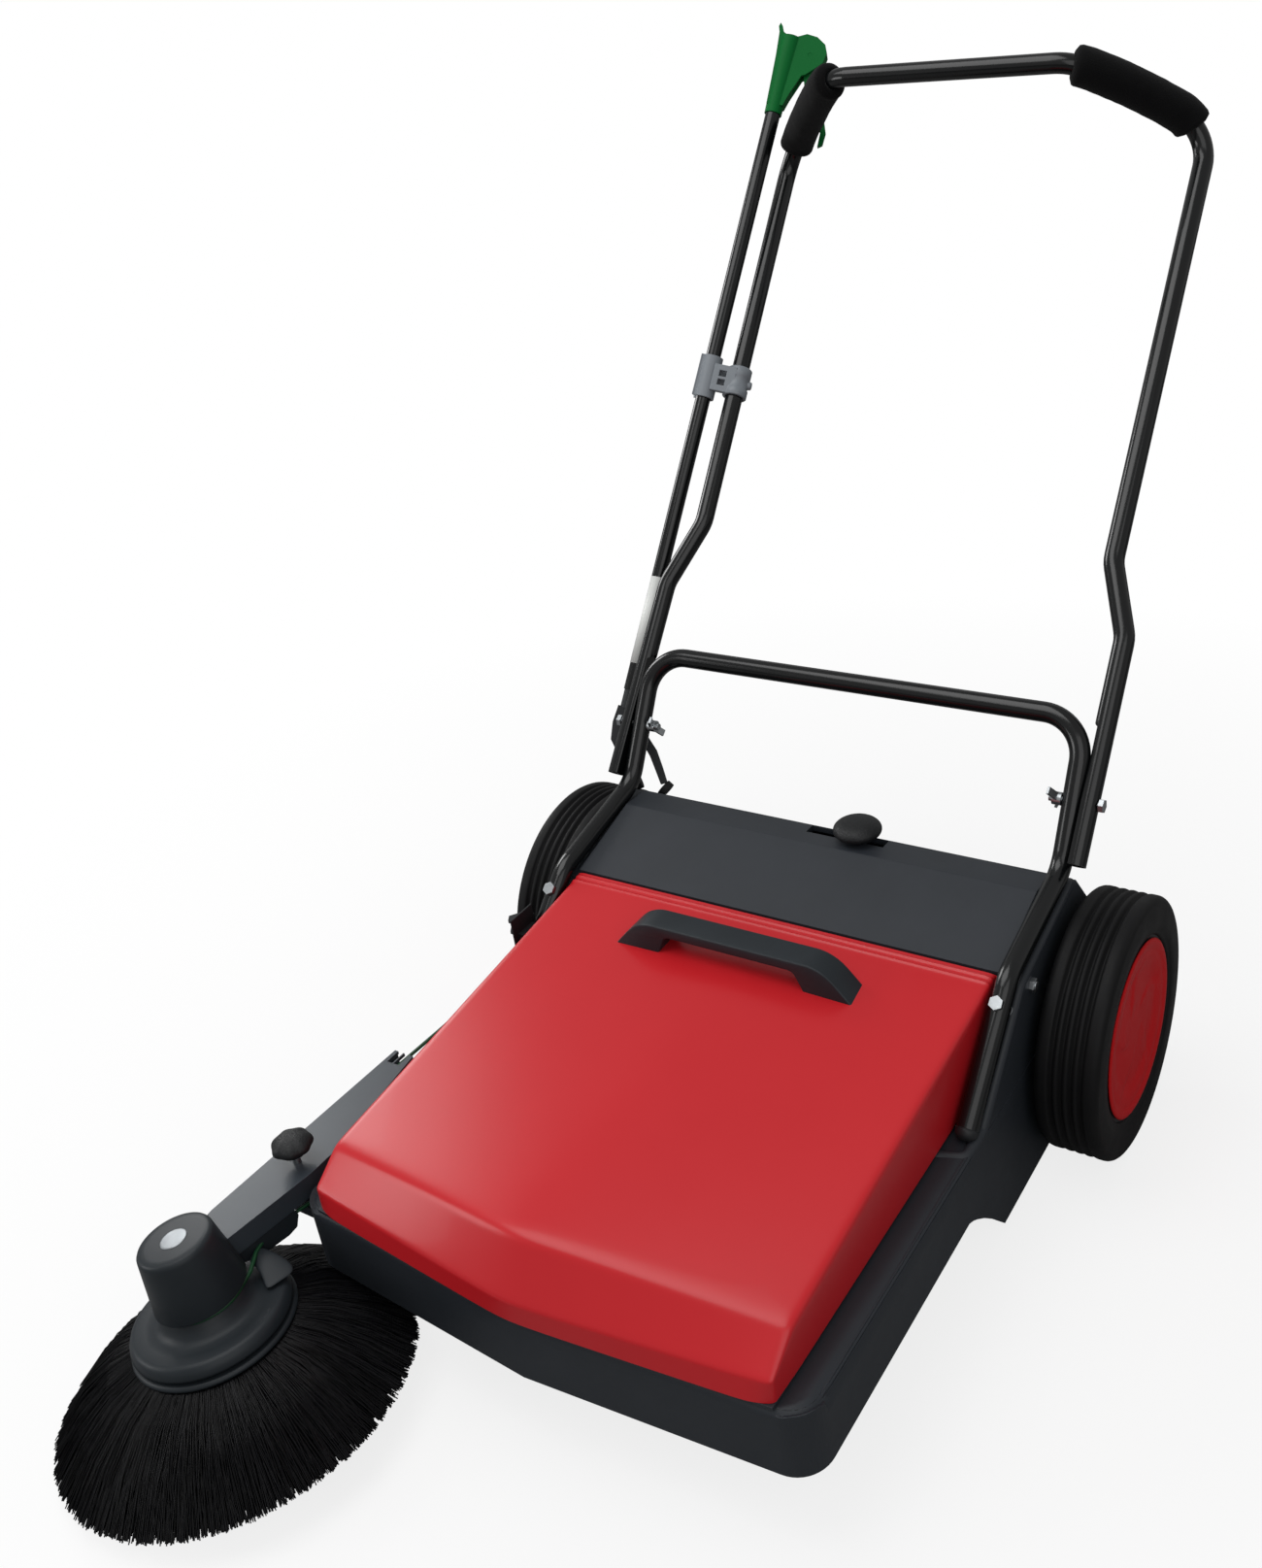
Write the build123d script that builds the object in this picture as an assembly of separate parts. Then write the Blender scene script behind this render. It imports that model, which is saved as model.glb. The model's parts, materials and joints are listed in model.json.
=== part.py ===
from build123d import *
import math
import os

os.makedirs("parts", exist_ok=True)

# Manual floor sweeper. Millimetres, +Z up, the machine's front faces -Y, X = 0 is its mid plane,
# Y = 0 is the wheel axle and Z = 0 the floor. The side brush is on the -X side.

# Fits: running fit on the radius, gap between loose pieces
RUN = 0.05
GAP = 0.3

# Road wheels
TYRE_R = 140.0
TYRE_W = 66.5
TYRE_GAP = 11.0
RIM_R = 99.0
AXLE_R = 8.0
SLEEVE_R = 24.0

# Chassis, hood and housing
HALF_W = 284.0
NOSE_Y = -610.0
NOSE_RISE = 21.0
REAR_Y = 95.0
WALL = 5.0
SKIRT_Z = 12.0
RIM_ABOVE_AXLE = 20.0
TRAY_BELOW_RIM = 73.0
WING_ABOVE_TYRE = 9.8
HOOD_WALL = 3.0

# Gear drive from the wheels to the countershaft, flat belt from there to the roller
MODULE = 2.0
WHEEL_TEETH = 64
PINION_TEETH = 20
COUNTER_R = 7.0
GEAR_W = 10.0
DRIVE_PULLEY_R = 20.0
ROLLER_PULLEY_R = 24.0

# Roller brush
ROLLER_R = 90.0
ROLLER_Y = -100.0
CORE_R = 38.0
SHAFT_R = 7.0

# Handle tubes
TUBE_R = 11.0
TUBE_WALL = 1.5
PIVOT_Y = 58.0
PIVOT_RISE = 75.2
LEAN = 0.857
BEND_R = 44.0
GRIP_R = 21.5

# Side brush
SB_TILT = 6.5
SB_R = 179.0
SB_AHEAD = 88.0
FLANGE_R = 78.0
SB_PULLEY_R = 39.5
CAP_R_LOW = 44.0
CAP_R_TOP = 36.0
CAP_H = 82.0
ROUND_BELT_R = 2.0
WHEEL_PULLEY_R = 39.5

# Height adjuster on the deck
ADJ_X = 38.0
ADJ_Y = 16.0
ADJ_TRAVEL = 40.0

# Litter picker
PICK_R = 9.5
PICK_BACK = 412.0
PICK_UP = 605.0

# Heights that follow from the sizes above
AXLE_Y = 0.0
AXLE_Z = TYRE_R
RIM_Z = AXLE_Z + RIM_ABOVE_AXLE
HOOD_Z = RIM_Z + 4.0
TRAY_Z = RIM_Z - TRAY_BELOW_RIM
WING_Z = 2 * TYRE_R + WING_ABOVE_TYRE
HOOD_TOP_Z = WING_Z - 24.8
PIVOT_Z = WING_Z + PIVOT_RISE
ROLLER_Z = ROLLER_R + 1.0
CENTRES = MODULE * (WHEEL_TEETH + PINION_TEETH) / 2 + 0.1
COUNTER_Y = AXLE_Y + CENTRES * math.sin(math.radians(45))
COUNTER_Z = AXLE_Z - CENTRES * math.cos(math.radians(45))

# Lengthwise places
NOSE_SIDE_Y = NOSE_Y + NOSE_RISE
CHAMBER_Y = ROLLER_Y - ROLLER_R - 4.0
TRAY_END_Y = CHAMBER_Y - 83.0
WING_FRONT_Y = CHAMBER_Y - 37.6
DECK_FRONT_Y = -119.5
FRONT_ROLLER_Y = 0.5 * (NOSE_Y + CHAMBER_Y)

# Crosswise places, outward from the middle
TYRE_IN = HALF_W + TYRE_GAP
TYRE_OUT = TYRE_IN + TYRE_W
HUB_X = TYRE_OUT - 1.0
GEAR_X1 = HALF_W - 10.0
GEAR_X0 = GEAR_X1 - GEAR_W
BELT_X1 = GEAR_X0 - 3.0
BELT_X0 = BELT_X1 - 10.0
ARM_X1 = BELT_X0 - 2.0
ARM_X0 = ARM_X1 - 5.0
ROLLER_HALF = ARM_X0 - 4.0
HOOD_X = HALF_W - 28.0
DECK_X = HALF_W - 26.5
BOW_X = HALF_W - 13.0
UPPER_X = BOW_X + 17.0
FLAT_X = BOW_X + TUBE_R + 0.2
LEFT = -HALF_W

NODES = {}


def save(shape, name):
    """Keep one node until the whole machine is placed."""
    NODES[name] = shape


def box(x0, x1, y0, y1, z0, z1):
    """Axis aligned block between two corners."""
    return Pos((x0 + x1) / 2, (y0 + y1) / 2, (z0 + z1) / 2) * Box(abs(x1 - x0), abs(y1 - y0), abs(z1 - z0))


def cyl_x(x0, x1, y, z, r):
    """Cylinder along X."""
    return Pos((x0 + x1) / 2, y, z) * Rot(0, 90, 0) * Cylinder(r, abs(x1 - x0))


def cyl_z(x, y, z0, z1, r):
    """Cylinder along Z."""
    return Pos(x, y, (z0 + z1) / 2) * Cylinder(r, abs(z1 - z0))


def plate_x(points, x0, x1):
    """Outline in (Y, Z) pulled along X."""
    face = make_face(Polyline(*[(x0, y, z) for y, z in points], close=True))
    return extrude(face, amount=x1 - x0, dir=(1, 0, 0))


def plate_z(points, z0, z1):
    """Outline in (X, Y) pulled along Z."""
    face = make_face(Polyline(*[(x, y, z0) for x, y in points], close=True))
    return extrude(face, amount=z1 - z0, dir=(0, 0, 1))


def hexagon_on(plane, across, height):
    """Hexagonal head standing on a plane."""
    return extrude(plane * RegularPolygon(across / 2, 6, major_radius=False), amount=height)


def tube_along(path, r):
    """Solid round bar along a path."""
    return sweep(Plane(origin=path @ 0, z_dir=path % 0) * Circle(r), path=path)


def ring_x(x0, x1, y, z, r_out, r_in):
    """Ring about an X axis."""
    low = min(x0, x1)
    high = max(x0, x1)
    return cyl_x(low, high, y, z, r_out) - cyl_x(low - 1, high + 1, y, z, r_in)


def turned_x(points, side):
    """Solid of revolution about the wheel axle from (distance from the middle, radius) points."""
    face = make_face(Polyline(*[(side * x, AXLE_Y, AXLE_Z + r) for x, r in points], close=True))
    return revolve(face, axis=Axis((0, AXLE_Y, AXLE_Z), (1, 0, 0)), revolution_arc=360)


def polygon_solid(faces):
    """Closed solid from flat faces given by their corners."""
    made = [Face(Wire.make_polygon([Vector(*p) for p in f], close=True)) for f in faces]
    return Solid(Shell(made))


def gear(teeth, x0, x1, y, z, bore, phase):
    """Spur gear about an X axis with one tooth centred on the phase angle (degrees in YZ)."""
    pitch = MODULE * teeth / 2
    tip = pitch + 0.85 * MODULE
    root = pitch - 1.15 * MODULE
    step = 360.0 / teeth
    points = []
    for i in range(teeth):
        mid = phase + i * step
        for off, rad in ((-0.30, root), (-0.125, tip), (0.125, tip), (0.30, root)):
            a = math.radians(mid + off * step)
            points.append((y + rad * math.cos(a), z + rad * math.sin(a)))
    low = min(x0, x1)
    high = max(x0, x1)
    return plate_x(points, low, high) - cyl_x(low - 1, high + 1, y, z, bore)


def mushroom(x, y, z0, r, h, bore, depth):
    """Domed knob with finger notches and a blind bore from below."""
    pts = [(0, z0), (0.52 * r, z0), (0.6 * r, z0 + 0.18 * h), (0.95 * r, z0 + 0.3 * h), (r, z0 + 0.48 * h)]
    pts += [(0.97 * r, z0 + 0.66 * h), (0.82 * r, z0 + 0.85 * h), (0.5 * r, z0 + 0.97 * h), (0, z0 + h)]
    face = make_face(Polyline(*[(x + a, y, b) for a, b in pts], close=True))
    knob = revolve(face, axis=Axis((x, y, 0), (0, 0, 1)), revolution_arc=360)
    for k in range(12):
        a = math.radians(30 * k)
        knob -= cyl_z(x + 1.06 * r * math.cos(a), y + 1.06 * r * math.sin(a), z0 - 1, z0 + h + 1, 0.12 * r)
    return knob - cyl_z(x, y, z0 - 1, z0 + depth, bore)


# Chassis moulding: tray in front, brush chamber behind
plan = make_face(
    Polyline(
        (-HALF_W, REAR_Y, 0),
        (HALF_W, REAR_Y, 0),
        (HALF_W, NOSE_SIDE_Y, 0),
        (0, NOSE_Y, 0),
        (-HALF_W, NOSE_SIDE_Y, 0),
        close=True,
    )
)
plan = fillet([v for v in plan.vertices() if abs(v.X) > HALF_W - 1 and v.Y < NOSE_SIDE_Y + 1], 34)
plan = fillet([v for v in plan.vertices() if v.Y > REAR_Y - 1], 18)
plan_in = offset(plan, amount=-WALL)
chassis = Pos(0, 0, SKIRT_Z) * extrude(plan, amount=RIM_Z - SKIRT_Z, dir=(0, 0, 1))
rim_edges = [e for e in chassis.edges() if abs(e.center().Z - RIM_Z) < 0.01]
chassis = fillet(rim_edges, 0.84 * WALL)
chassis -= Pos(0, 0, TRAY_Z + 4) * extrude(plan_in, amount=RIM_Z, dir=(0, 0, 1))
chassis -= box(-HALF_W + WALL, HALF_W - WALL, TRAY_END_Y + 4, REAR_Y - WALL, 0, TRAY_Z + 10)
# Front wall of the brush chamber: a ramp curve from the tray down to the skirt
RAMP = ((0, 0), (0.108, 0.058), (0.217, 0.141), (0.41, 0.314), (0.687, 0.609), (1, 1))
curve = []
for u, w in RAMP:
    curve.append((TRAY_END_Y + u * (CHAMBER_Y - TRAY_END_Y), TRAY_Z - w * (TRAY_Z - SKIRT_Z)))
ahead = [(NOSE_Y - 90, 0), (NOSE_Y - 90, TRAY_Z)]
chassis -= plate_x(ahead + curve + [(CHAMBER_Y, 0)], -HALF_W - 100, HALF_W + 100)
ramp = curve + [(CHAMBER_Y + 5, SKIRT_Z)] + [(y + 4, z + 3) for y, z in reversed(curve[:-1])]
chassis += plate_x(ramp, -HALF_W + WALL, HALF_W - WALL)
shelf = Pos(0, 0, RIM_Z - 5.5) * extrude(offset(plan, amount=1 - WALL), amount=5.0, dir=(0, 0, 1))
for side in (-1, 1):
    ledge = (side * (HALF_W - 34), side * (HALF_W - 4))
    chassis += box(*ledge, NOSE_Y, WING_FRONT_Y, RIM_Z - 10, RIM_Z + 5) & shelf
    chassis += box(side * (HALF_W - 7.5), ledge[1], WING_FRONT_Y, REAR_Y - 8, RIM_Z - 6.5, RIM_Z - 0.5)
    chassis -= cyl_x(side * (HALF_W - 14), side * (HALF_W + 6), AXLE_Y, AXLE_Z, SLEEVE_R + 7)
    chassis -= cyl_x(side * (HALF_W - 14), side * (HALF_W + 6), COUNTER_Y, COUNTER_Z, COUNTER_R + 4)
# Boss for the side arm's pivot pin, stop lug under the arm's knob
ARM_TOP = RIM_Z + 8.0
ARM_PIN_Y = NOSE_Y + 212.0
ARM_PIN_Z = RIM_Z - 18.0
ARM_PIN_R = 5.0
KNOB_X = LEFT - 32.0
KNOB_Y = NOSE_Y + 57.0
LUG_Z = RIM_Z - 34.0
chassis += cyl_x(LEFT - 8, LEFT + 2, ARM_PIN_Y, ARM_PIN_Z, ARM_PIN_R + 6)
chassis -= cyl_x(LEFT - 20, LEFT + 10, ARM_PIN_Y, ARM_PIN_Z, ARM_PIN_R)
chassis += box(LEFT - 50, LEFT + 1, KNOB_Y - 15, KNOB_Y + 15, LUG_Z - 12, LUG_Z)
# Brackets below the tray for the front rollers
FR_X = 0.6 * HALF_W
FR_R = 0.4 * TRAY_Z
FR_W = 13.0
FR_PIN_R = 4.0
for side in (-1, 1):
    for leg in (-1, 1):
        x = side * FR_X + leg * (FR_W + 3)
        cheek = [(FRONT_ROLLER_Y - 26, TRAY_Z + 2), (FRONT_ROLLER_Y - 12, FR_R - 9)]
        cheek += [(FRONT_ROLLER_Y + 12, FR_R - 9), (FRONT_ROLLER_Y + 26, TRAY_Z + 2)]
        chassis += plate_x(cheek, x - 2, x + 2)
    chassis -= cyl_x(side * FR_X - 30, side * FR_X + 30, FRONT_ROLLER_Y, FR_R, FR_PIN_R)
save(chassis, "chassis")

# Front rollers and their pins
pins = []
for side, name in ((-1, "left"), (1, "right")):
    mid = side * FR_X
    body = cyl_x(mid - FR_W, mid + FR_W, FRONT_ROLLER_Y, FR_R, FR_R)
    body = fillet([e for e in body.edges() if e.geom_type == GeomType.CIRCLE], 4)
    save(body - cyl_x(mid - 40, mid + 40, FRONT_ROLLER_Y, FR_R, FR_PIN_R + RUN), name + "_front_roller")
    pin = cyl_x(mid - FR_W - 6, mid + FR_W + 6, FRONT_ROLLER_Y, FR_R, FR_PIN_R)
    pin += cyl_x(mid + FR_W + 5.5, mid + FR_W + 8, FRONT_ROLLER_Y, FR_R, FR_PIN_R + 2)
    pins.append(pin)
save(Compound(pins), "front_roller_pins")

# Rear housing: side wings that carry the bow, slanted panel and narrow deck
EDGE_LOW = Vector(0, WING_FRONT_Y, RIM_Z + GAP)
EDGE_TOP = Vector(0, DECK_FRONT_Y - 2.0, WING_Z - 30.8)
wing_line = [(EDGE_LOW.Y, EDGE_LOW.Z), (EDGE_TOP.Y, EDGE_TOP.Z), (22.8, WING_Z), (27.0, WING_Z)]
wing_line += [(REAR_Y, WING_Z - 84.8), (REAR_Y, RIM_Z + GAP)]
wing_in = [(EDGE_LOW.Y + 8.6, RIM_Z - 5), (EDGE_TOP.Y + 2.5, EDGE_TOP.Z - 4.8), (22.0, WING_Z - 4.4), (25.0, WING_Z - 4.8)]
wing_in += [(REAR_Y - 4, WING_Z - 86.8), (REAR_Y - 4, RIM_Z - 5)]
housing = plate_x(wing_line, -HALF_W, HALF_W) - plate_x(wing_in, -HALF_W + 4, HALF_W - 4)
panel = [(DECK_FRONT_Y, HOOD_TOP_Z), (-14.0, WING_Z + 4.7), (25.0, WING_Z + 2.5), (27.0, WING_Z - 0.8)]
panel += [(24.0, WING_Z - 3.8), (-14.0, WING_Z - 5.8), (DECK_FRONT_Y, HOOD_TOP_Z - 9)]
housing += plate_x(panel, -DECK_X, DECK_X)
housing -= box(-DECK_X, DECK_X, DECK_FRONT_Y - 180, DECK_FRONT_Y, RIM_Z - 60, WING_Z + 110)
lip_edges = [e for e in housing.edges().filter_by(Axis.X) if abs(e.center().Y + 14) < 0.5 and e.center().Z > WING_Z]
housing = fillet(lip_edges, 5)
housing -= box(ADJ_X - ADJ_TRAVEL - 22, ADJ_X + 34, ADJ_Y - 8, ADJ_Y + 8, WING_Z - 20, WING_Z + 20)
for side in (-1, 1):
    housing -= cyl_x(side * (HALF_W - 14), side * (HALF_W + 6), AXLE_Y, AXLE_Z, SLEEVE_R + 7)

# Dead axle with end collars and its inner brackets
axle = cyl_x(-HUB_X + 11, HUB_X - 11, AXLE_Y, AXLE_Z, AXLE_R)
for side in (-1, 1):
    axle += cyl_x(side * (HUB_X - 16.6), side * (HUB_X - 12.6), AXLE_Y, AXLE_Z, AXLE_R + 6)
save(axle, "axle")
brackets = []
for side in (-1, 1):
    leaf_line = [(-13, AXLE_Z - 13), (13, AXLE_Z - 13), (13, WING_Z - 5.3), (-13, WING_Z - 9.3)]
    leaf = plate_x(leaf_line, side * (DECK_X - 6.5), side * (DECK_X - 0.5))
    leaf -= cyl_x(side * (DECK_X - 20), side * (DECK_X + 20), AXLE_Y, AXLE_Z, AXLE_R)
    brackets.append(leaf)
    housing -= leaf
save(Compound(brackets), "axle_brackets")

# Road wheels
WHEEL_PULLEY_X = LEFT - 4.0
DISC_R = RIM_R - 3.0
GROOVE = 3.0
RIB_W = (TYRE_W - 18) / 4
for side, name in ((-1, "left"), (1, "right")):
    profile = [(TYRE_IN + 5, RIM_R), (TYRE_IN, RIM_R + 5), (TYRE_IN, TYRE_R - 9), (TYRE_IN + 4, TYRE_R - 3)]
    profile.append((TYRE_IN + 9, TYRE_R))
    for k in range(1, 4):
        centre = TYRE_IN + 9 + k * RIB_W
        profile += [(centre - 2.5, TYRE_R), (centre - 1.5, TYRE_R - GROOVE)]
        profile += [(centre + 1.5, TYRE_R - GROOVE), (centre + 2.5, TYRE_R)]
    profile += [(TYRE_OUT - 9, TYRE_R), (TYRE_OUT - 4, TYRE_R - 3), (TYRE_OUT, TYRE_R - 9), (TYRE_OUT, RIM_R + 5)]
    profile.append((TYRE_OUT - 5, RIM_R))
    save(turned_x(profile, side), name + "_tyre")
    wheel_rim = ring_x(side * (TYRE_IN + 5), side * (TYRE_OUT - 5), AXLE_Y, AXLE_Z, RIM_R, RIM_R - 6)
    wheel_rim += ring_x(side * (TYRE_IN + 25), side * (TYRE_IN + 33), AXLE_Y, AXLE_Z, RIM_R - 5, AXLE_R + RUN)
    wheel_rim += ring_x(side * (TYRE_IN + 2), side * (HUB_X - 17), AXLE_Y, AXLE_Z, SLEEVE_R, AXLE_R + RUN)
    rib_len = RIM_R - 5 - (SLEEVE_R - 2)
    for k in range(6):
        rib = Pos(side * (TYRE_IN + 21), AXLE_Y, AXLE_Z) * Rot(60 * k, 0, 0)
        wheel_rim += rib * Pos(0, 0, SLEEVE_R - 2 + rib_len / 2) * Box(24, 5, rib_len)
    if side < 0:
        # Grooved pulley for the round belt, moulded on the left rim
        wheel_rim += ring_x(-TYRE_IN - 3, WHEEL_PULLEY_X + 2.6, AXLE_Y, AXLE_Z, WHEEL_PULLEY_R - 0.1, SLEEVE_R)
        groove = Pos(WHEEL_PULLEY_X, AXLE_Y, AXLE_Z) * Rot(0, 90, 0) * Torus(WHEEL_PULLEY_R, ROUND_BELT_R + GAP)
        wheel_rim -= groove
    save(wheel_rim, name + "_rim")
    dish = [(HUB_X - 5.5, 0), (HUB_X - 5.5, 30), (HUB_X - 7, 0.625 * DISC_R), (HUB_X - 1.5, DISC_R - 12), (HUB_X, DISC_R - 4)]
    dish += [(HUB_X, DISC_R), (HUB_X - 3.9, DISC_R), (HUB_X - 3.9, DISC_R - 3.1), (HUB_X - 12, DISC_R - 3.1)]
    dish += [(HUB_X - 12, DISC_R - 5.6), (HUB_X - 4.6, DISC_R - 5.6), (HUB_X - 5.2, DISC_R - 12)]
    dish += [(HUB_X - 10, 0.625 * DISC_R), (HUB_X - 8.1, 30), (HUB_X - 8.1, 0)]
    cover = turned_x(dish, side)
    # Six low swirl ridges on the face
    for k in range(6):
        swirl = []
        for shift, order in ((0, range(5)), (5, reversed(range(5)))):
            for j in order:
                ang = math.radians(60 * k + 9 * j + shift)
                rad = 30 + (DISC_R - 44) / 4 * j
                swirl.append((AXLE_Y + rad * math.cos(ang), AXLE_Z + rad * math.sin(ang)))
        cover += plate_x(swirl, side * (HUB_X - 6.5), side * (HUB_X - 3.2))
    save(cover, name + "_hub_cover")
    sleeve = ring_x(side * (GEAR_X0 - 2), side * (TYRE_IN + 2), AXLE_Y, AXLE_Z, SLEEVE_R, AXLE_R + RUN)
    toothed = gear(WHEEL_TEETH, side * GEAR_X0, side * GEAR_X1, AXLE_Y, AXLE_Z, SLEEVE_R - 2, -45)
    save(toothed + sleeve, name + "_wheel_gear")

# Countershaft, pinions, pulley and bushes
phase = 135 + 180.0 / PINION_TEETH
countershaft = cyl_x(-HALF_W + 2, HALF_W - 2, COUNTER_Y, COUNTER_Z, COUNTER_R)
countershaft += cyl_x(-BELT_X1, -BELT_X0, COUNTER_Y, COUNTER_Z, DRIVE_PULLEY_R)
save(countershaft, "countershaft")
save(gear(PINION_TEETH, -GEAR_X0, -GEAR_X1, COUNTER_Y, COUNTER_Z, COUNTER_R, phase), "left_pinion")
save(gear(PINION_TEETH, GEAR_X0, GEAR_X1, COUNTER_Y, COUNTER_Z, COUNTER_R + RUN, phase), "right_pinion")
bushes = []
for side in (-1, 1):
    bush = ring_x(side * (HALF_W - 7), side * HALF_W, COUNTER_Y, COUNTER_Z, COUNTER_R + 4, COUNTER_R + RUN)
    bushes.append(bush)
save(Compound(bushes), "countershaft_bushes")

# Swing frame that carries the roller, turning about the countershaft
BAR_Y = 25.0
BAR_Z = COUNTER_Z + (COUNTER_Y - BAR_Y) / (COUNTER_Y - ROLLER_Y) * (ROLLER_Z - COUNTER_Z) + 1.2
frame = None
for side in (-1, 1):
    outline = [
        (COUNTER_Y + 16, COUNTER_Z + 9),
        (COUNTER_Y + 16, COUNTER_Z - 9),
        (COUNTER_Y, COUNTER_Z - 17),
        (ROLLER_Y, ROLLER_Z - 17),
        (ROLLER_Y - 16, ROLLER_Z - 8),
        (ROLLER_Y - 16, ROLLER_Z + 8),
        (ROLLER_Y, ROLLER_Z + 17),
        (COUNTER_Y, COUNTER_Z + 17),
    ]
    arm = plate_x(outline, side * ARM_X0, side * ARM_X1)
    arm -= cyl_x(side * (ARM_X0 - 14), side * (ARM_X1 + 11), COUNTER_Y, COUNTER_Z, COUNTER_R + RUN)
    arm -= cyl_x(side * (ARM_X0 - 14), side * (ARM_X1 + 11), ROLLER_Y, ROLLER_Z, SHAFT_R + RUN)
    frame = arm if frame is None else frame + arm
frame += cyl_x(-ARM_X0 - 1, ARM_X0 + 1, BAR_Y, BAR_Z, 7)
frame -= box(ADJ_X - 5, ADJ_X + 5, BAR_Y - 9, BAR_Y + 9, BAR_Z + 5, BAR_Z + 9)
save(frame, "brush_frame")
POST_Y = BAR_Y - 3.0
POST_PIN_Z = WING_Z - 27.8
POST_PIN_R = 3.0
post = box(ADJ_X - 5, ADJ_X + 5, POST_Y - 3, POST_Y + 3, BAR_Z + 5, POST_PIN_Z + 4.5)
post += Pos(ADJ_X, POST_Y - 13, POST_PIN_Z) * Rot(90, 0, 0) * Cylinder(POST_PIN_R, 34)
save(post, "lift_post")
# Flat belt around both pulleys, carried by the frame
near = DRIVE_PULLEY_R + GAP
far = ROLLER_PULLEY_R + GAP
reach = math.hypot(COUNTER_Y - ROLLER_Y, COUNTER_Z - ROLLER_Z)
slope = math.atan2(ROLLER_Z - COUNTER_Z, ROLLER_Y - COUNTER_Y)
splay = math.asin((far - near) / reach)


def belt_outline(extra):
    """Outline of the belt loop in YZ at a distance outside the pulleys."""
    points = []
    for i in range(17):
        a = slope + math.pi / 2 + splay + (math.pi - 2 * splay) * i / 16
        points.append((COUNTER_Y + (near + extra) * math.cos(a), COUNTER_Z + (near + extra) * math.sin(a)))
    for i in range(17):
        a = slope - math.pi / 2 - splay + (math.pi + 2 * splay) * i / 16
        points.append((ROLLER_Y + (far + extra) * math.cos(a), ROLLER_Z + (far + extra) * math.sin(a)))
    return points


drive_belt = plate_x(belt_outline(3.2), -BELT_X1 + 0.5, -BELT_X0 - 0.5)
drive_belt -= plate_x(belt_outline(0.4), -BELT_X1 - 1, -BELT_X0 + 1)
save(drive_belt, "drive_belt")

# Roller brush
shaft = cyl_x(-BELT_X1 - 1, ARM_X1 + 3, ROLLER_Y, ROLLER_Z, SHAFT_R)
shaft += cyl_x(-BELT_X1, -BELT_X0, ROLLER_Y, ROLLER_Z, ROLLER_PULLEY_R)
save(shaft, "roller_shaft")
core = ring_x(-ROLLER_HALF, ROLLER_HALF, ROLLER_Y, ROLLER_Z, CORE_R, CORE_R - 5)
for x in (-ROLLER_HALF, -ROLLER_HALF / 3, ROLLER_HALF / 3, ROLLER_HALF):
    inner = x - 5 if x > 0 else x + 5
    core += ring_x(x, inner, ROLLER_Y, ROLLER_Z, CORE_R - 4, SHAFT_R)
save(core, "roller_core")
ROWS = 10
TUFTS = 18
strands = []
for i in range(ROWS):
    for k in range(TUFTS):
        x = -ROLLER_HALF + 12 + k * (2 * ROLLER_HALF - 24) / (TUFTS - 1)
        turn = 360.0 / ROWS * i + abs(k - (TUFTS - 1) / 2) * 4.0
        bar = Pos(x, ROLLER_Y, ROLLER_Z) * Rot(turn, 0, 0) * Pos(0, 0, (CORE_R + 1 + ROLLER_R) / 2)
        strands.append(bar * Box(5.0, 5.0, ROLLER_R - CORE_R - 1.05))
sleeve = ring_x(-ROLLER_HALF, ROLLER_HALF, ROLLER_Y, ROLLER_Z, CORE_R + 2.5, CORE_R)
save(sleeve.fuse(*strands), "roller_bristles")

# Height adjuster: slider under the deck with an inclined slot, knob above it
ADJ_KNOB_Z = WING_Z + 4.4
ADJ_STUD_R = 4.0
SLOT_SLOPE = 4.38
slide_x = (ADJ_X - 14, ADJ_X + ADJ_TRAVEL + 18)
slider = box(*slide_x, ADJ_Y - 7, ADJ_Y + 7, WING_Z - 12.8, WING_Z - 8.8)
slider += box(*slide_x, ADJ_Y - 3, ADJ_Y + 1, WING_Z - 35.8, WING_Z - 11.8)
slot_at = Pos(ADJ_X + ADJ_TRAVEL / 2, ADJ_Y - 1, POST_PIN_Z + 1.5)
slider -= slot_at * Rot(0, -SLOT_SLOPE, 0) * Box(ADJ_TRAVEL + 14, 20, 2 * POST_PIN_R + 1.4)
slider += cyl_z(ADJ_X, ADJ_Y, WING_Z - 9.8, ADJ_KNOB_Z - GAP, ADJ_STUD_R + 2)
slider += cyl_z(ADJ_X, ADJ_Y, ADJ_KNOB_Z - 1, ADJ_KNOB_Z + 12, ADJ_STUD_R)
save(slider, "adjuster_slider")
save(mushroom(ADJ_X, ADJ_Y, ADJ_KNOB_Z, 28, 22, ADJ_STUD_R + RUN, 12.5), "adjuster_knob")

# Rubber dust lips behind and in front of the roller
lip_x = HALF_W - WALL - 3
rear_lip = box(-lip_x, lip_x, REAR_Y - WALL - 3.0, REAR_Y - WALL, 3, SKIRT_Z + 40)
front_line = [(CHAMBER_Y + 5, SKIRT_Z), (CHAMBER_Y, SKIRT_Z), (CHAMBER_Y - 2, 3), (CHAMBER_Y + 2, 3)]
front_lip = plate_x(front_line, -lip_x + 8, lip_x - 8)
save(Compound([rear_lip, front_lip]), "dust_lips")

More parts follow.
